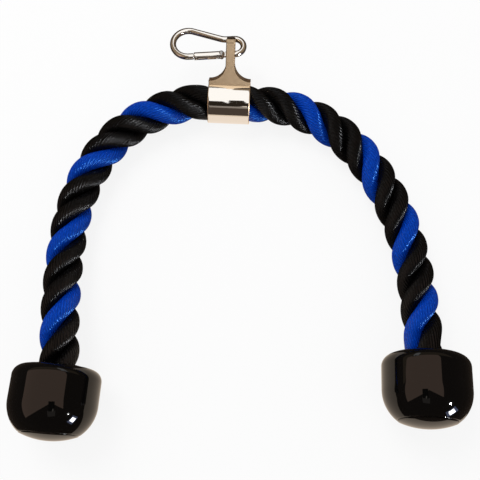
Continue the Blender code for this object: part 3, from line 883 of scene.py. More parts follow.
def cut(item: bpy.types.Object, cutters: list[bpy.types.Object]) -> None:
    """Cuts shapes out of a piece and removes the cutters.

    Faces of more than four corners are split afterwards, so that each is surely flat.

    Args:
        item: The piece, whose mesh is changed.
        cutters: Closed shapes.
    """
    for cutter in cutters:
        change = item.modifiers.new(cutter.name, "BOOLEAN")
        change.operation, change.object, change.solver = "DIFFERENCE", cutter, "EXACT"
    item.modifiers.new("split", "TRIANGULATE").min_vertices = 5
    graph = bpy.context.evaluated_depsgraph_get()
    mesh = bpy.data.meshes.new_from_object(item.evaluated_get(graph), depsgraph=graph)
    item.modifiers.clear()
    old, item.data = item.data, mesh
    mesh.name = old.name
    bpy.data.meshes.remove(old)
    mesh.shade_smooth()
    mesh.set_sharp_from_angle(angle=math.radians(CRISP))
    item.modifiers.new("even_normals", "WEIGHTED_NORMAL").keep_sharp = True
    for cutter in cutters:
        bpy.data.objects.remove(cutter, do_unlink=True)


def settle(item: bpy.types.Object, body: str, node: str) -> None:
    """Says what a rigid piece rides on and what it stands for.

    Args:
        item: The piece.
        body: The CAD body that it moves with.
        node: The CAD node that it replaces.
    """
    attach(item, body)
    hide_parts(node)
    LOG.info("%s rides on %s", item.name, body)


def dress(node: str, material: bpy.types.Material) -> None:
    """Gives a CAD node that stays its finish.

    Args:
        node: The node's name.
        material: Its finish.
    """
    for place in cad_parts[node].material_slots:
        place.material = material
    LOG.info("%s: %s", node, material.name)


def block(name: str, low: tuple, high: tuple, place: Matrix) -> bpy.types.Object:
    """Makes a square cutter.

    Args:
        name: The cutter's name.
        low: Its lowest corner, in the placement's own axes.
        high: Its highest corner.
        place: The placement.

    Returns:
        The cutter's object.
    """
    corners = np.array([(x, y, z) for x in (low[0], high[0]) for y in (low[1], high[1])
                        for z in (low[2], high[2])], float)
    sides = [(0, 1, 3, 2), (4, 6, 7, 5), (0, 4, 5, 1), (2, 3, 7, 6), (0, 2, 6, 4), (1, 5, 7, 3)]
    mesh = bpy.data.meshes.new(name)
    mesh.from_pydata(placed(corners, place).tolist(), [], sides)
    item = bpy.data.objects.new(name, mesh)
    bpy.context.scene.collection.objects.link(item)
    return item


def shift(x: float = 0.0, y: float = 0.0, z: float = 0.0) -> Matrix:
    """Returns a move along the axes, by metres."""
    return Matrix.Translation((x, y, z))


def turn(degrees: float, axis: str) -> Matrix:
    """Returns a turn about the axis "X", "Y" or "Z"."""
    return Matrix.Rotation(math.radians(degrees), 4, axis)


class CollarFinish(IntEnum):
    """The collar's finishes, in the order of its materials."""

    PLATE = 0
    SATIN = 1
    EDGE = 2
    TOP = 3


@dataclass
class Collar:
    """The sleeve crimped round the rope and the upright lug with its eye, one casting.

    Attributes:
        route: The rope's centre line.
        bore: Radius inside the sleeve.
        radius: Radius outside the sleeve.
        length: Length of the sleeve, and width of the lug's foot.
        edge: Radius of the sleeve's outer rims.
        lip: Radius of the sleeve's inner rims.
        turn_out: Turn of the sleeve about the upright, in degrees.
        lift: Slope of the lug over the floor, in degrees.
        lug_depth: Depth of the lug, round the sleeve.
        lug_thickness: Thickness of the lug over its neck, along the sleeve.
        lug_height: Height of the lug's top over the rope's middle.
        lug_root: Height at which the lug starts, inside the sleeve.
        shoulder: Height at which the lug starts to narrow.
        neck: Height from which it is at its thinnest.
        top_radius: Radius of the top's corners along the sleeve.
        corner_radius: Radius of the top's corners round the sleeve.
        lug_edge: Radius of the lug's long edges.
        eye_diameter: Diameter of the eye.
        eye_height: Height of the eye's middle over the rope's middle.
        eye_edge: Radius of the eye's rims.
    """

    route: Route
    bore: float = 0.0154
    radius: float = 0.0172
    length: float = 0.0346
    edge: float = 0.0007
    lip: float = 0.0003
    turn_out: float = -2.6
    lift: float = 35.8
    lug_depth: float = 0.0134
    lug_thickness: float = 0.0072
    lug_height: float = 0.0533
    lug_root: float = 0.012
    shoulder: float = 0.0193
    neck: float = 0.0330
    top_radius: float = 0.0014
    corner_radius: float = 0.0030
    lug_edge: float = 0.0005
    eye_diameter: float = 0.0098
    eye_height: float = 0.0412
    eye_edge: float = 0.0005

    @property
    def place(self) -> Matrix:
        """Returns the collar's own axes: X along the sleeve, Z up the lug."""
        middle = self.route.at(np.array(self.route.collar))
        return Matrix.Translation(middle) @ turn(self.turn_out, "Z") @ turn(self.lift - 90, "X")

    def sleeve(self) -> Skin:
        """Turns the sleeve's ring profile round the rope; its rounded rims are left satin.

        Returns:
            The sleeve's surface.
        """
        half, edge, lip = self.length / 2, self.edge, self.lip
        outer = self.radius - edge
        profile = joined(arc((self.bore + lip, -half + lip), lip, 180, 270, 4),
                         arc((outer, -half + edge), edge, -90, 0, 8),
                         arc((outer, half - edge), edge, 0, 90, 8),
                         arc((self.bore + lip, half - lip), lip, 90, 180, 4))
        profile = fine_profile(profile, 0.002)
        skin = turned(profile, self.place @ turn(90, "Y"), 144, ring=True)
        middle = (profile[:, 1] + np.roll(profile[:, 1], -1)) / 2
        on_rim = np.abs(middle) > half - edge
        skin.finish = np.where(on_rim, CollarFinish.SATIN, CollarFinish.PLATE)[:, None]
        return skin

    def lug(self) -> Skin:
        """Shapes the lug, whose section at each height is a box with rounded edges.

        Its half width is the foot's up to the shoulder, then the foot's less the sweep times the
        sine of an angle while the height is the neck's less the rise times its cosine, and half
        the thickness above the neck. The top's corners are arcs in both directions. The long
        edges and the last of the top are painted dark, painted shade for the dark outline round
        the lug, and the rest of the top is painted darker than the sides, painted shade that dims
        the highlight on its rounded corners.

        Returns:
            The lug's surface.
        """
        foot, half = self.length / 2, self.lug_thickness / 2
        sweep, rise = foot - half, self.neck - self.shoulder
        angle = np.radians(np.linspace(0, 90, 40))
        flank = np.stack((foot - sweep * np.sin(angle), self.neck - rise * np.cos(angle)), -1)
        top = arc((half - self.top_radius, self.lug_height - self.top_radius),
                  self.top_radius, 0, 90, 10)
        inset, narrowest = 0.0004, 0.0003
        outline = fine_profile(joined((foot - inset, self.lug_root), flank, top), 0.0008)
        height, wide = outline[:, 1], np.maximum(outline[:, 0], narrowest)
        deep = np.full_like(height, self.lug_depth / 2)
        over = np.clip((height - (self.lug_height - self.corner_radius)) / self.corner_radius, 0, 1)
        deep -= self.corner_radius * (1 - np.sqrt(1 - over**2))
        corner_steps = 5
        section = rounded_box(wide, deep, self.lug_edge, corner_steps)
        skin = swept(np.outer(height, UP), (1, 0, 0), (0, 1, 0), section, self.place)
        on_edge = np.arange(section.shape[1]) % (corner_steps + 1) < corner_steps
        # Painted shade: the rounded long edges take the dark edge finish.
        sides = np.where(on_edge, CollarFinish.EDGE, CollarFinish.SATIN)
        skin.finish = np.tile(sides, (len(height) - 1, 1))
        # Painted shade: the top takes a darker finish, and its last rows the dark edge finish.
        skin.finish[height[1:] > self.lug_height - self.corner_radius] = CollarFinish.TOP
        skin.finish[height[1:] > self.lug_height - self.top_radius / 4] = CollarFinish.EDGE
        return skin

    def eye(self) -> bpy.types.Object:
        """Turns the eye's profile, with flared ends for its rims, round the eye's axis.

        Returns:
            The eye's cutter.
        """
        radius, half, lip = self.eye_diameter / 2, self.lug_thickness / 2, self.eye_edge
        wide, beyond, just_off = radius + 4 * lip, 0.002, 0.00001
        profile = joined((0, -half - beyond), (wide, -half - beyond), (wide, -half - just_off),
                         arc((radius + lip, -half + lip), lip, 270, 180, 6),
                         arc((radius + lip, half - lip), lip, 180, 90, 6),
                         (wide, half + just_off), (wide, half + beyond), (0, half + beyond))
        place = self.place @ shift(z=self.eye_height) @ turn(90, "Y")
        return make_object("eye_cutter", [turned(profile, place, 64)], [])

    def build(self, materials: list[bpy.types.Material]) -> None:
        """Makes the collar with its eye.

        Args:
            materials: The collar's finishes, in the order of CollarFinish.
        """
        lug = make_object("collar_lug", [self.lug()], materials)
        cut(lug, [self.eye()])
        # The sleeve has only the finishes that come before the lug's painted dark edges.
        sleeve = make_object("collar_sleeve", [self.sleeve()], materials[:CollarFinish.EDGE])
        for item in (sleeve, lug):
            settle(item, "collar", "rope_collar")


# Snap hook.


@dataclass
class SnapHook:
    """The bent wire hook in the lug's eye, with its gate, rivet, spring and plunger.

    Its own axes start where the wire lies in the eye.

    Attributes:
        collar: The collar in whose eye it hangs.
        wire: Diameter of the wire.
        large_radius: Radius of the large bend, to the wire's middle.
        large_reach: Distance of the large bend's middle from the eye, along the gate.
        small_radius: Radius of the small bend, to the wire's middle.
        small_reach: Distance of the small bend's middle from the eye, the other way.
        slope: Slope of the back between the bends, in degrees.
        knee: Radius of the knee between the small bend and the back.
        play: Free space between the wire and the eye.
        setback: How far the wire lies behind the eye's middle.
        turn_out: Turn of the hook about the upright, in degrees.
        droop: Slope of the hook's loop towards the floor, in degrees.
        gate_diameter: Diameter of the gate.
        gate_length: Length of the gate from its hinge to its tip.
        gap: Play between pieces that move.
        tip_gap: Free space between the gate's tip and the wire's end.
        hinge: Place of the hinge along the gate.
        tongue_thickness: Thickness of the wire's flattened end.
        tongue_height: Height of the flattened end.
        tongue_end: How far the flattened end reaches past the hinge.
        slot_spare: Spare length of the gate's slot past the flattened end.
        neck_diameter: Diameter of the T nose's neck.
        neck_length: Length of the neck.
        bar_length: Length of the T nose's bar, as thick as its neck.
        relief: Free space past the bar in the gate's tip.
        web: Solid stretch of the gate between the bar's pocket and the bore.
        rivet: Diameter of the rivet.
        rivet_head: Diameter of its heads.
        rivet_height: Height of its heads.
        bore: Diameter of the bore that holds the spring and the plunger.
        plunger_length: Length of the plunger.
        plunger_travel: How far the open gate pushes the plunger in; not used.
        spring_wire: Diameter of the spring's wire.
        spring_turns: Turns of the spring.
        spring_length: Length of the spring.
    """

    collar: Collar
    wire: float = 0.0050
    large_radius: float = 0.0125
    large_reach: float = 0.0343
    small_radius: float = 0.0073
    small_reach: float = 0.0037
    slope: float = 21.2
    knee: float = 0.0140
    play: float = 0.0007
    setback: float = 0.0010
    turn_out: float = 3.4
    droop: float = 8.7
    gate_diameter: float = 0.0062
    gate_length: float = 0.0224
    gap: float = 0.0003
    tip_gap: float = 0.0004
    hinge: float = -0.0075
    tongue_thickness: float = 0.0022
    tongue_height: float = 0.0044
    tongue_end: float = 0.0023
    slot_spare: float = 0.0015
    neck_diameter: float = 0.0018
    neck_length: float = 0.0024
    bar_length: float = 0.0036
    relief: float = 0.0006
    web: float = 0.0016
    rivet: float = 0.0020
    rivet_head: float = 0.0036
    rivet_height: float = 0.0006
    bore: float = 0.0036
    plunger_length: float = 0.0044
    plunger_travel: float = 0.00105
    spring_wire: float = 0.00044
    spring_turns: int = 8
    spring_length: float = 0.0088

    @property
    def place(self) -> Matrix:
        """The hook's own axes: X along its bar, Y towards its back, Z across its loop.

        Returns:
            Their placement, where the wire lies in the eye.
        """
        free = self.collar.eye_diameter / 2 - self.wire / 2 - self.play
        drop = math.sqrt(free * free - self.setback * self.setback)
        seat = self.collar.place @ Vector((0, self.setback, self.collar.eye_height - drop))
        return Matrix.Translation(seat) @ turn(self.turn_out, "Z") @ turn(-self.droop, "X")

    @property
    def shoulder(self) -> float:
        """Returns where the round wire starts, beside the knuckle."""
        return self.hinge + self.gate_diameter / 2 + self.gap

    @property
    def nose(self) -> float:
        """Returns where the wire ends, beside the gate's tip."""
        return self.hinge - self.gate_length - self.tip_gap

    @property
    def spring_start(self) -> float:
        """Returns where the spring starts, behind the plunger."""
        return self.hinge - self.tongue_end - 2 * self.gap - self.plunger_length - self.spring_wire

    def centre_line(self) -> np.ndarray:
        """Draws the wire's middle: the small bend, the knee, the sloping back, the large bend.

        It is made of arcs and of the straight lines that touch them.

        Returns:
            Its points, rows by two.
        """
        slope, top = math.radians(self.slope), 2 * self.small_radius
        meeting = (self.large_radius * (1 + math.cos(slope)) - self.large_reach * math.sin(slope)
                   - top * math.cos(slope)) / math.sin(slope)
        knee = (meeting + self.knee * math.tan(slope / 2), top + self.knee)
        return joined((self.shoulder, 0),
                      arc((self.small_reach, self.small_radius), self.small_radius, -90, 90, 60),
                      arc(knee, self.knee, -90, -90 - self.slope, 16),
                      arc((-self.large_reach, self.large_radius), self.large_radius,
                          90 - self.slope, 270, 90),
                      (self.nose, 0))

    def bar(self, path: np.ndarray, radius: float, edge: float, columns: int) -> Skin:
        """Makes a round bar with rounded rims along a flat line in the hook's own axes.

        A point is the line's point plus the ring's point, times the row's share of the radius.

        Args:
            path: The middle line, rows by two.
            radius: The bar's radius.
            edge: Radius of its rims.
            columns: Points round the bar.

        Returns:
            The bar's surface.
        """
        row_spacing, near = 0.0005, 0.0002
        along, share = rounded_ends(distances(path)[-1], radius, edge, row_spacing)
        path = np.pad(path, ((0, 0), (0, 1)))
        ahead = places_along(path, along + near) - places_along(path, along - near)
        ahead /= np.linalg.norm(ahead, axis=1, keepdims=True)
        angle = np.linspace(0, 2 * math.pi, columns, endpoint=False)
        ring = radius * np.stack((np.cos(angle), np.sin(angle)), -1)
        return swept(places_along(path, along), np.cross(UP, ahead), UP,
                     ring * share[:, None, None], self.place)

    def tongue(self) -> Skin:
        """Shapes the flattened wire end at the hinge: a slab with a round end and soft edges.

        In the round end a row lies the half height times (one less an angle's sine) from the end,
        and its own half height is the full one times the angle's cosine, up to 86 degrees.

        Returns:
            The tongue's surface.
        """
        end, start = self.hinge - self.tongue_end, self.shoulder + self.wire / 2
        half, soft_edge, straight_rows = self.tongue_height / 2, 0.0004, 11
        fall = np.radians(np.linspace(86, 0, 20))
        straight = np.linspace(end + half, start, straight_rows + 1)[1:]
        x = np.concatenate((end + half * (1 - np.sin(fall)), straight))
        tall = np.concatenate((half * np.cos(fall), np.full(straight_rows, half)))
        section = rounded_box(tall, np.full_like(x, self.tongue_thickness / 2), soft_edge, 5)
        return swept(np.outer(x, (1, 0, 0)), (0, 1, 0), UP, section, self.place)

    def hook(self) -> list[Skin]:
        """Shapes the wire and its T-shaped nose: a neck, and a bar across the neck's end.

        Returns:
            The surfaces of the three.
        """
        radius, neck, rim, soft = self.wire / 2, self.neck_diameter / 2, 0.0003, 0.0004
        neck_end = self.nose + self.neck_length
        half = self.bar_length / 2
        bar = joined((0, -half), arc((neck - soft, -half + soft), soft, -90, 0, 5),
                     arc((neck - soft, half - soft), soft, 0, 90, 5), (0, half))
        return [
            self.bar(self.centre_line(), radius, rim, 40),
            self.bar(joined((self.nose - radius, 0), (neck_end, 0)), neck, rim, 24),
            turned(bar, self.place @ shift(neck_end), 28),
        ]

    def gate(self, metal: bpy.types.Material) -> bpy.types.Object:
        """Makes the gate: a tube with a ball-ended, slotted knuckle and a T pocket at its tip.

        Args:
            metal: Its finish.

        Returns:
            The gate's object.
        """
        radius, length, tip = self.gate_diameter / 2, self.gate_length, 0.0003
        profile = joined((0, -length), arc((radius - tip, -length + tip), tip, -90, 0, 6),
                         arc((0, 0), radius, 0, 90, 20))
        along = self.place @ shift(self.hinge) @ turn(90, "Y")
        tube = make_object("gate_tube", [turned(fine_profile(profile, 0.001), along, 64)], [metal])
        across = self.tongue_thickness / 2 + self.gap
        slot_end = self.hinge - self.tongue_end - self.gap
        neck, bar = self.neck_diameter / 2, self.bar_length / 2
        neck_end, beyond, big = self.nose + self.neck_length, 0.002, self.gate_diameter
        half, wide = neck + self.gap, bar + self.gap
        bar_end = neck_end + neck + self.relief
        bore_start = bar_end + self.web
        deep = slot_end + self.gap - bore_start
        bore = joined((0, 0), (self.bore / 2, 0), (self.bore / 2, deep), (0, deep))
        cut(tube, [
            block("slot", (slot_end - self.slot_spare, -big, -across), (self.hinge + big, big, across),
                  self.place),
            block("neck_pocket", (self.nose - beyond, -big, -half), (neck_end, half, half), self.place),
            block("bar_pocket", (neck_end - half, -big, -wide), (bar_end, half, wide), self.place),
            make_object("bore", [turned(bore, self.place @ shift(bore_start) @ turn(90, "Y"), 32)], []),
            self.rivet_hole(),
        ])
        return tube

    def rivet_hole(self) -> bpy.types.Object:
        """Makes a plain cylinder as wide as the rivet and its play.

        Returns:
            The cutter of the rivet's hole.
        """
        wide, reach = self.rivet / 2 + self.gap, self.gate_diameter
        profile = joined((0, -reach), (wide, -reach), (wide, reach), (0, reach))
        return make_object("rivet_hole", [turned(profile, self.place @ shift(self.hinge), 24)], [])

    def spring(self) -> Skin:
        """Winds the closing spring, a wire on a helix.

        Its middle line is the start less the length times t along the gate, and the coil's
        radius times (cosine, sine) of the turns times t across it, for t from 0 to 1.

        Returns:
            The spring's surface.
        """
        radius = (self.bore - self.spring_wire) / 2 - self.gap
        start = self.spring_start
        t = np.linspace(0, 1, self.spring_turns * 28 + 1)
        angle = 2 * math.pi * self.spring_turns * t
        first = np.stack((0 * t, np.cos(angle), np.sin(angle)), -1)
        path = np.outer(start - self.spring_length * t, (1, 0, 0)) + radius * first
        ahead = np.gradient(path, axis=0)
        ahead /= np.linalg.norm(ahead, axis=1, keepdims=True)
        ring = arc((0, 0), self.spring_wire / 2, 0, 330, 11)
        return swept(path, first, np.cross(ahead, first), ring, self.place)

    def rivet_skin(self) -> Skin:
        """Turns the rivet, with a head on each side of the knuckle.

        A head is a straight rim, a quarter of its height, under a dome, half an ellipse.

        Returns:
            The rivet's surface.
        """
        rim = 0.25
        seat, head, high = self.gate_diameter / 2 + self.gap, self.rivet_head / 2, self.rivet_height
        angle = np.radians(np.linspace(0, 90, 10))
        dome = np.stack((head * np.cos(angle), seat + high * (rim + (1 - rim) * np.sin(angle))), -1)
        dome[-1, 0] = 0.0
        upper = joined((self.rivet / 2, seat), (head, seat), dome)
        lower = upper[::-1] * (1, -1)
        return turned(joined(lower, upper), self.place @ shift(self.hinge), 40)

    def build(self, metal: bpy.types.Material, zinc: bpy.types.Material) -> None:
        """Makes the hook, the gate and the rivet, and dresses the fittings inside the gate.

        Args:
            metal: Finish of the wire and the gate.
            zinc: Finish of the rivet, the spring and the plunger.
        """
        hook = make_object("hook_wire", self.hook(), [metal])
        tongue = make_object("hook_tongue", [self.tongue()], [metal])
        cut(tongue, [self.rivet_hole()])
        gate = self.gate(metal)
        rivet = make_object("hinge_rivet", [self.rivet_skin()], [zinc])
        spring = make_object("closing_spring", [self.spring()], [zinc])
        for item, body, node, slot in ((hook, "snap_hook", "carabiner_hook", "plated_wire"),
                                       (tongue, "snap_hook", "carabiner_hook", "plated_wire"),
                                       (gate, "gate", "carabiner_gate", "plated_wire"),
                                       (rivet, "gate", "gate_rivet", "zinc_steel"),
                                       (spring, "gate", "gate_spring", "zinc_steel")):
            settle(item, body, node)
        far = self.place @ Vector((self.spring_start - self.spring_length, 0, 0))
        tuple(self.place.col[0][:3])
        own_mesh(spring)
        dress("gate_plunger", zinc)


# End caps.


@dataclass
class EndCap:
    """A hollow bowl-shaped end cap with its domed plug, washer and ferrule.

    Attributes:
        side: Which leg it is on.
        route: The rope's centre line.
        diameter: Diameter of its side.
        rim: Diameter of the rim that the plug closes.
        height: Height from the mouth, where the rope goes in, to the rim.
        side_depth: How far from the mouth the straight side ends.
        shoulder: Radius of the shoulder round the mouth.
        crown: How much the top falls from the hole to the shoulder.
        wall: Thickness of the wall.
        rim_wall: Thickness of the wall at the rim.
        top: How far from the mouth the hollow starts.
        hole: Radius of the rope's hole.
        hole_edge: Radius of the hole's edge.
        rim_edge: Radius of the rim's edge.
        dome: Height of the plug's dome.
        spigot: How far the plug's ring reaches into the cap.
        gap: Play between the cap and the plug.
        plug_wall: Thickness of the plug's ring.
        plug_edge: How far the plug's flat underside ends inside its dome's edge.
    """

    side: Side
    route: Route
    diameter: float = 0.0665
    rim: float = 0.0444
    height: float = 0.0504
    side_depth: float = 0.0280
    shoulder: float = 0.0085
    crown: float = 0.0018
    wall: float = 0.0032
    rim_wall: float = 0.0022
    top: float = 0.0062
    hole: float = 0.0158
    hole_edge: float = 0.0008
    rim_edge: float = 0.0004
    dome: float = 0.0047
    spigot: float = 0.0040
    gap: float = 0.0003
    plug_wall: float = 0.0024
    plug_edge: float = 0.0003

    @property
    def place(self) -> Matrix:
        """The cap's own axes: Z from its mouth along the rope to its plug, X level.

        Returns:
            Their placement, in the cap's mouth.
        """
        knots = self.route.knots
        mouth, end = ((knots[LEFT_MOUTH_KNOT], knots[0]) if self.side is Side.LEFT
                      else (knots[RIGHT_MOUTH_KNOT], knots[-1]))
        z_axis = (end - mouth) / np.linalg.norm(end - mouth)
        x_axis = np.cross(UP, z_axis)
        x_axis /= np.linalg.norm(x_axis)
        whole = np.eye(4)
        whole[:3] = np.stack((x_axis, np.cross(z_axis, x_axis), z_axis, mouth), -1)
        return Matrix(whole.tolist())

    def bowl(self) -> Skin:
        """Turns the bowl's closed profile round the rope's end.

        Outside it runs from the hole over the shoulder's arc and down a straight side, then on
        an arc that is tangent to the side and ends at the rim. Inside it follows a wall lower.

        Returns:
            The bowl's surface.
        """
        radius, rim = self.diameter / 2, self.rim / 2
        inset, drop = radius - rim, self.height - self.side_depth
        bend = (inset**2 + drop**2) / (2 * inset)
        sweep = math.degrees(math.asin(drop / bend))
        outer = arc((radius - bend, self.side_depth), bend, 0, sweep, 40)[:-1]
        inside, mouth = radius - self.wall, rim - self.rim_wall
        inset, drop = inside - mouth, self.height - self.spigot - self.wall - self.side_depth
        inner_bend = (inset**2 + drop**2) / (2 * inset)
        inner_sweep = math.degrees(math.asin(min(drop / inner_bend, 1)))
        corner = self.shoulder - self.wall
        edge = self.rim_edge
        profile = joined(
            arc((self.hole + self.hole_edge, self.hole_edge), self.hole_edge, 180, 270, 6),
            arc((radius - self.shoulder, self.crown + self.shoulder), self.shoulder, -90, 0, 24),
            outer,
            arc((rim - edge, self.height - edge), edge, 10, 90, 6),
            (mouth, self.height),
            arc((inside - inner_bend, self.side_depth), inner_bend, inner_sweep, 0, 16),
            arc((inside - corner, self.top + corner), corner, 0, -90, 10),
            (self.hole, self.top),
        )
        return turned(fine_profile(profile, 0.0015), self.place, 160, ring=True)

    def plug(self) -> Skin:
        """Turns the plug: a shallow dome, part of a sphere, over a ring that fits in the rim.

        Returns:
            The plug's surface.
        """
        rim, seat = self.rim / 2, self.height + self.gap
        ball = (rim**2 + self.dome**2) / (2 * self.dome)
        rise = math.degrees(math.asin(rim / ball))
        dome = arc((0, seat + self.dome - ball), ball, 90 - rise, 90, 24)
        dome[-1, 0] = 0.0
        outside = rim - self.rim_wall - self.gap
        inside, end = outside - self.plug_wall, seat - self.spigot
        profile = joined((0, seat), (inside, seat), (inside, end), (outside, end), (outside, seat),
                         (rim - self.plug_edge, seat), dome[1:])
        return turned(fine_profile(profile, 0.0015), self.place, 160)

    def build(self, plastic: bpy.types.Material, zinc: bpy.types.Material) -> None:
        """Makes the cap and its plug, and dresses the washer and the ferrule.

        Args:
            plastic: Finish of the cap and the plug.
            zinc: Finish of the washer and the ferrule.
        """
        side = self.side.value
        for name, skin in ((f"{side}_cap_shell", self.bowl()), (f"{side}_cap_plug", self.plug())):
            item = make_object(f"moulded_{name}", [skin], [plastic], sharp=50.0)
            settle(item, f"{side}_leg", name)
        dress(f"{side}_washer", zinc)
        dress(f"{side}_ferrule", zinc)


# Studio.


DIM_ROOM = "4A4039"
NEAR_BLACK = "2A241E"


class Reach(Enum):
    """What a lamp lights."""

    MATT = "matt surfaces"
    GLOSS = "gloss"


def bare_tree(owner: Any) -> bpy.types.NodeTree:
    """Empties the node tree of a material or a world.

    Args:
        owner: The material or the world.

    Returns:
        Its node tree, without nodes.
    """
    owner.use_nodes = True
    owner.node_tree.nodes.clear()
    return owner.node_tree


def stage_sheet(name: str, corners: Any, material: bpy.types.Material) -> bpy.types.Object:
    """Makes a flat sheet that belongs to the studio and not to the object.

    Args:
        name: The sheet's name.
        corners: Its outline, in metres.
        material: Its finish.

    Returns:
        The sheet's object.
    """
    mesh = bpy.data.meshes.new(name)
    mesh.from_pydata(corners, [], [tuple(range(len(corners)))])
    mesh.materials.append(material)
    item = bpy.data.objects.new(name, mesh)
    bpy.context.scene.collection.objects.link(item)
    return item


@dataclass(frozen=True)
class Card:
    """A flat card that hangs round the object and shows only in its gloss.

    Attributes:
        name: The card's name.
        corners: Its outline, in metres.
        colour: Colour of its light.
        strength: How bright it is.
    """

    name: str
    corners: tuple[tuple[float, float, float], ...]
    colour: str
    strength: float = 1.0

    def build(self) -> None:
        """Hangs the card."""
        material = bpy.data.materials.new(f"lit_{self.name}")
        tree = bare_tree(material)
        light = add_node(tree, "ShaderNodeEmission", {0: linear(self.colour), 1: self.strength})
        add_node(tree, "ShaderNodeOutputMaterial", {0: light})
        item = stage_sheet(self.name, self.corners, material)
        item.visible_camera = item.visible_diffuse = item.visible_shadow = False
        item.visible_transmission = item.visible_volume_scatter = False


@dataclass(frozen=True)
class Lamp:
    """A square soft lamp that points at the object.

    Attributes:
        name: The lamp's name.
        place: Where it hangs, in metres.
        size: Its side.
        power: Its power in watts.
        reach: Whether it lights matt surfaces, or shows as a spot in the gloss.
    """

    name: str
    place: tuple[float, float, float]
    size: float
    power: float
    reach: Reach

    def build(self) -> None:
        """Hangs the lamp."""
        data = bpy.data.lights.new(self.name, "AREA")
        data.shape, data.size, data.energy = "SQUARE", self.size, self.power
        item = bpy.data.objects.new(self.name, data)
        item.location = self.place
        item.rotation_euler = Vector(self.place).to_track_quat("Z", "Y").to_euler()
        item.visible_glossy, item.visible_diffuse = self.reach is Reach.GLOSS, self.reach is Reach.MATT
        bpy.context.scene.collection.objects.link(item)


def level(height: float, *spots: tuple[float, float]) -> tuple[tuple[float, float, float], ...]:
    """Works out the corners of a level card.

    Args:
        height: Its height over the floor.
        *spots: Its outline, seen from above.

    Returns:
        The corners.
    """
    return tuple((x, y, height) for x, y in spots)


def facing(middle: tuple[float, float, float], wide: float, tall: float) -> tuple:
    """Works out the corners of an upright card that faces the object.

    Args:
        middle: The card's middle.
        wide: Its width.
        tall: Its height.

    Returns:
        The middle plus and minus half of each side; the sides are UP times the card's direction,
        and that direction times the first side.
    """
    ahead = np.array(middle) / np.linalg.norm(middle)
    across = np.cross(UP, ahead)
    across *= wide / 2 / np.linalg.norm(across)
    upright = np.cross(ahead, across)
    upright *= tall / 2 / np.linalg.norm(upright)
    signs = ((1, 1), (-1, 1), (-1, -1), (1, -1))
    return tuple(tuple(np.array(middle) + a * across + b * upright) for a, b in signs)


CARDS = (
    # A panel under the ceiling, whose front edge is cut in the shape of a tent.
    Card("ceiling_panel", level(0.9, (0.56, 1.6), (-2.2, 1.6), (-2.2, -1.62), (0.0, -0.12),
                                (0.56, -0.44)), "E9C7B2"),
    # A white card over the collar and the hook, whose front edge is notched.
    Card("white_card", level(0.200, (0.03, 0.33), (-0.004, 0.34), (-0.004, 0.45), (-0.072, 0.45),
                             (-0.072, 0.17), (-0.050, 0.14), (-0.050, 0.057), (-0.0240, 0.057),
                             (-0.0205, 0.020), (-0.0163, 0.078), (-0.0010, 0.083), (0.0005, 0.043),
                             (0.03, 0.039)), "FFFFFF", 1.16),
    # A dark card behind its notches, and a wide brown one behind both.
    Card("notch_backing", level(0.202, (0.035, 0.030), (0.035, 0.120), (-0.055, 0.120),
                                (-0.055, 0.030)), NEAR_BLACK),
    Card("brown_wings", level(0.205, (0.45, 0.45), (-0.55, 0.45), (-0.55, 0.050), (0.45, 0.050)),
         "8C7B66"),
    # Pale paper on the floor below the collar, and a warmer sheet that shows in the caps.
    Card("collar_paper", level(0.0006, (0.085, -0.03), (0.06, 0.03), (0.016, 0.05), (0.016, 0.096),
                               (-0.036, 0.096), (-0.036, 0.05), (-0.07, 0.03), (-0.085, -0.03)),
         "E9DCCF", 1.18),
    Card("cap_paper", level(0.0006, (-0.20, -0.24), (0.20, -0.24), (0.20, -0.16), (0.125, -0.15),
                            (0.118, -0.10), (0.085, -0.03), (-0.085, -0.03), (-0.118, -0.10),
                            (-0.125, -0.15), (-0.20, -0.16)), "E8D6C2", 0.98),
    # The dark camera body, and a pale strip beside it with a paler corner.
    Card("camera_body", level(0.56, (0.03, -0.36), (0.03, -0.09), (-0.11, -0.09), (-0.11, -0.36)),
         NEAR_BLACK),
    Card("pale_strip", level(0.58, (0.06, -0.56), (0.06, -0.35), (-0.14, -0.35), (-0.14, -0.56)),
         "8E867F"),
    Card("strip_corner", level(0.54, (0.0, -0.35), (0.0, -0.28), (-0.022, -0.28), (-0.032, -0.35)),
         "F0E4D8"),
    # The wall round the window, in the window's light.
    Card("window_wall", facing((1.42, -1.60, 0.35), 0.80, 0.62), "8A93B8", 4.0),
    # A shade that keeps most of the spot lamp off the left cap.
    Card("barn_door", facing((0.65, -0.655, 0.56), 0.10, 0.10), DIM_ROOM),
)

LAMPS = (
    Lamp("softbox", place=(-0.6, 0.9, 1.6), size=0.9, power=16.0, reach=Reach.MATT),
    Lamp("window", place=(1.35, -1.52, 0.33), size=0.40, power=20.0, reach=Reach.GLOSS),
    Lamp("spot", place=(1.42, -1.18, 1.08), size=0.12, power=44.0, reach=Reach.GLOSS),
)


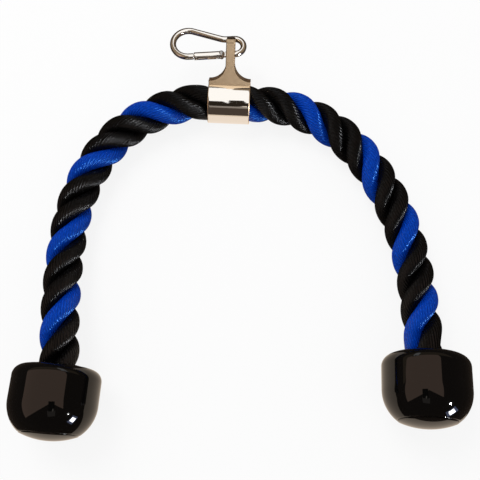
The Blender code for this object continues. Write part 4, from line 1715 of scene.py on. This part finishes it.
@dataclass
class Studio:
    """Camera, floor, lamps and the room that shows in the gloss.

    Attributes:
        eye: Where the camera stands.
        tilt: How far it is tilted up from looking straight down, in degrees.
        lens: Its focal length, in millimetres.
        sensor: Width of its sensor, in millimetres.
        floor_half: Half the side of the floor.
        floor_white: How much of the floor's white is its own light; the rest keeps the shadow.
        floor_glow: Colour of the floor in the gloss.
        soft_light: Strength of the room's even light on the object.
    """

    eye: tuple[float, float, float] = (-0.00077, -0.11547, 0.55981)
    tilt: float = 11.0
    lens: float = 51.3
    sensor: float = 36.0
    floor_half: float = 4.0
    floor_white: float = 0.86
    floor_glow: str = "453B33"
    soft_light: float = 0.62

    def camera(self) -> None:
        """Sets the camera at the photograph's viewing angle."""
        data = bpy.data.cameras.new("camera")
        data.lens, data.sensor_width = self.lens, self.sensor
        data.clip_start, data.clip_end = 0.01, 20.0
        item = bpy.data.objects.new("camera", data)
        item.location = self.eye
        item.rotation_euler = (math.radians(self.tilt), 0, 0)
        bpy.context.scene.collection.objects.link(item)
        bpy.context.scene.camera = item

    def rays(self, tree: bpy.types.NodeTree) -> tuple[bpy.types.NodeSocket, bpy.types.NodeSocket]:
        """Adds the nodes that tell rays apart.

        Args:
            tree: The node tree.

        Returns:
            A share that is 1 for what is looked at, straight or through glass, and one that is 1
            for what shows in the gloss.
        """
        ray = add_node(tree, "ShaderNodeLightPath")
        looked_at = add_node(tree, "ShaderNodeMath", {0: ray.outputs["Is Camera Ray"],
                             1: ray.outputs["Is Transmission Ray"]}, operation="MAXIMUM")
        return looked_at.outputs[0], ray.outputs["Is Glossy Ray"]

    def floor(self) -> None:
        """Lays the white floor, which keeps a soft shadow and is a dim brown in the gloss."""
        material = bpy.data.materials.new("white_paper_floor")
        tree = bare_tree(material)
        looked_at, gloss = self.rays(tree)
        paper = add_node(tree, "ShaderNodeBsdfDiffuse", {"Color": (0.9, 0.9, 0.9, 1)})
        white = add_node(tree, "ShaderNodeEmission", {0: (1, 1, 1, 1), 1: 1.0})
        seen = add_node(tree, "ShaderNodeMath", {0: looked_at, 1: self.floor_white}, operation="MULTIPLY")
        shown = add_node(tree, "ShaderNodeMixShader", {0: seen, 1: paper, 2: white})
        glow = add_node(tree, "ShaderNodeEmission", {0: linear(self.floor_glow), 1: 1.0})
        mirrored = add_node(tree, "ShaderNodeMixShader", {0: gloss, 1: shown, 2: glow})
        add_node(tree, "ShaderNodeOutputMaterial", {0: mirrored})
        half = self.floor_half
        stage_sheet("floor", [(-half, -half, 0), (half, -half, 0), (half, half, 0), (-half, half, 0)],
                    material)

    def room(self) -> None:
        """Sets the world: white behind the object, even soft light, and a dim room in the gloss."""
        world = bpy.data.worlds.new("studio")
        bpy.context.scene.world = world
        tree = bare_tree(world)
        looked_at, gloss = self.rays(tree)
        dim = add_node(tree, "ShaderNodeBackground", {0: linear(DIM_ROOM), 1: 1.0})
        light = add_node(tree, "ShaderNodeBackground", {0: (1, 1, 1, 1), 1: self.soft_light})
        white = add_node(tree, "ShaderNodeBackground", {0: (1, 1, 1, 1), 1: 1.0})
        lit = add_node(tree, "ShaderNodeMixShader", {0: gloss, 1: light, 2: dim})
        shown = add_node(tree, "ShaderNodeMixShader", {0: looked_at, 1: lit, 2: white})
        add_node(tree, "ShaderNodeOutputWorld", {0: shown})

    def build(self) -> None:
        """Sets up the camera, the floor, the room, the cards and the lamps."""
        self.camera()
        self.floor()
        self.room()
        for item in (*CARDS, *LAMPS):
            item.build()


def main() -> None:
    """Builds the studio and every piece, and reports each."""
    logging.basicConfig(level=logging.INFO, format="%(message)s")
    bpy.context.scene.view_settings.view_transform = "Standard"
    Studio().build()
    route = Route()
    # Yarns that swallow the light: near black, with broken grey streaks.
    black = LaidPolypropylene("black_laid_polypropylene", body="060607", lit="141415",
                              shade="010101", gleam="EAECF0", gloss=0.24).build()
    # The same yarns dyed through: a deep clear blue, with sky-blue streaks.
    blue = LaidPolypropylene("blue_laid_polypropylene", body="003BB2", lit="0A58E6",
                             shade="012A86", gleam="4A9CFF", gloss=0.90).build()
    # Polished before it was plated: the sleeve mirrors the room in sharp bands.
    plate = NickelPlate("nickel_plated_sleeve", roughness=0.05, ripple=0.00002).build()
    # Only tumbled before it was plated: the lug's flat sides blur the room to one warm tan.
    satin = NickelPlate("satin_nickel_lug", colour="F2D8B4", roughness=0.38).build()
    # A thin brown line painted round the lug's edges: painted shade for the dark outline they show.
    edge = NickelPlate("shade_painted_nickel_edge", colour="6A5844", roughness=0.34).build()
    # The lug's top painted darker than its sides: painted shade that dims the highlight its rounded corners
    # catch.
    top = NickelPlate("shade_painted_nickel_top", colour="BCA688", roughness=0.42).build()
    # Drawn wire, plated bright: small sharp mirror lines that follow its bends.
    wire = NickelPlate("nickel_plated_wire", roughness=0.07, ripple=0.00001).build()
    zinc = ZincPlate("zinc_plated_steel").build()
    plastic = MouldedAbs("gloss_black_abs").build()
    collar_mouth = route.collar - Collar.length / 2
    cap_mouth = route.reach[RIGHT_MOUTH_KNOT * Route.FINE]
    RopeLeg(Side.LEFT, route, phase=-20.1, held_back=((collar_mouth, 30, 0.011),)).build([black, blue])
    RopeLeg(Side.RIGHT, route, phase=-30.4, held_back=((cap_mouth, 36, 0.010),)).build([black, blue])
    collar = Collar(route)
    collar.build([plate, satin, edge, top])
    SnapHook(collar).build(wire, zinc)
    for side in Side:
        EndCap(side, route).build(plastic, zinc)


if __name__ == "__main__":
    main()
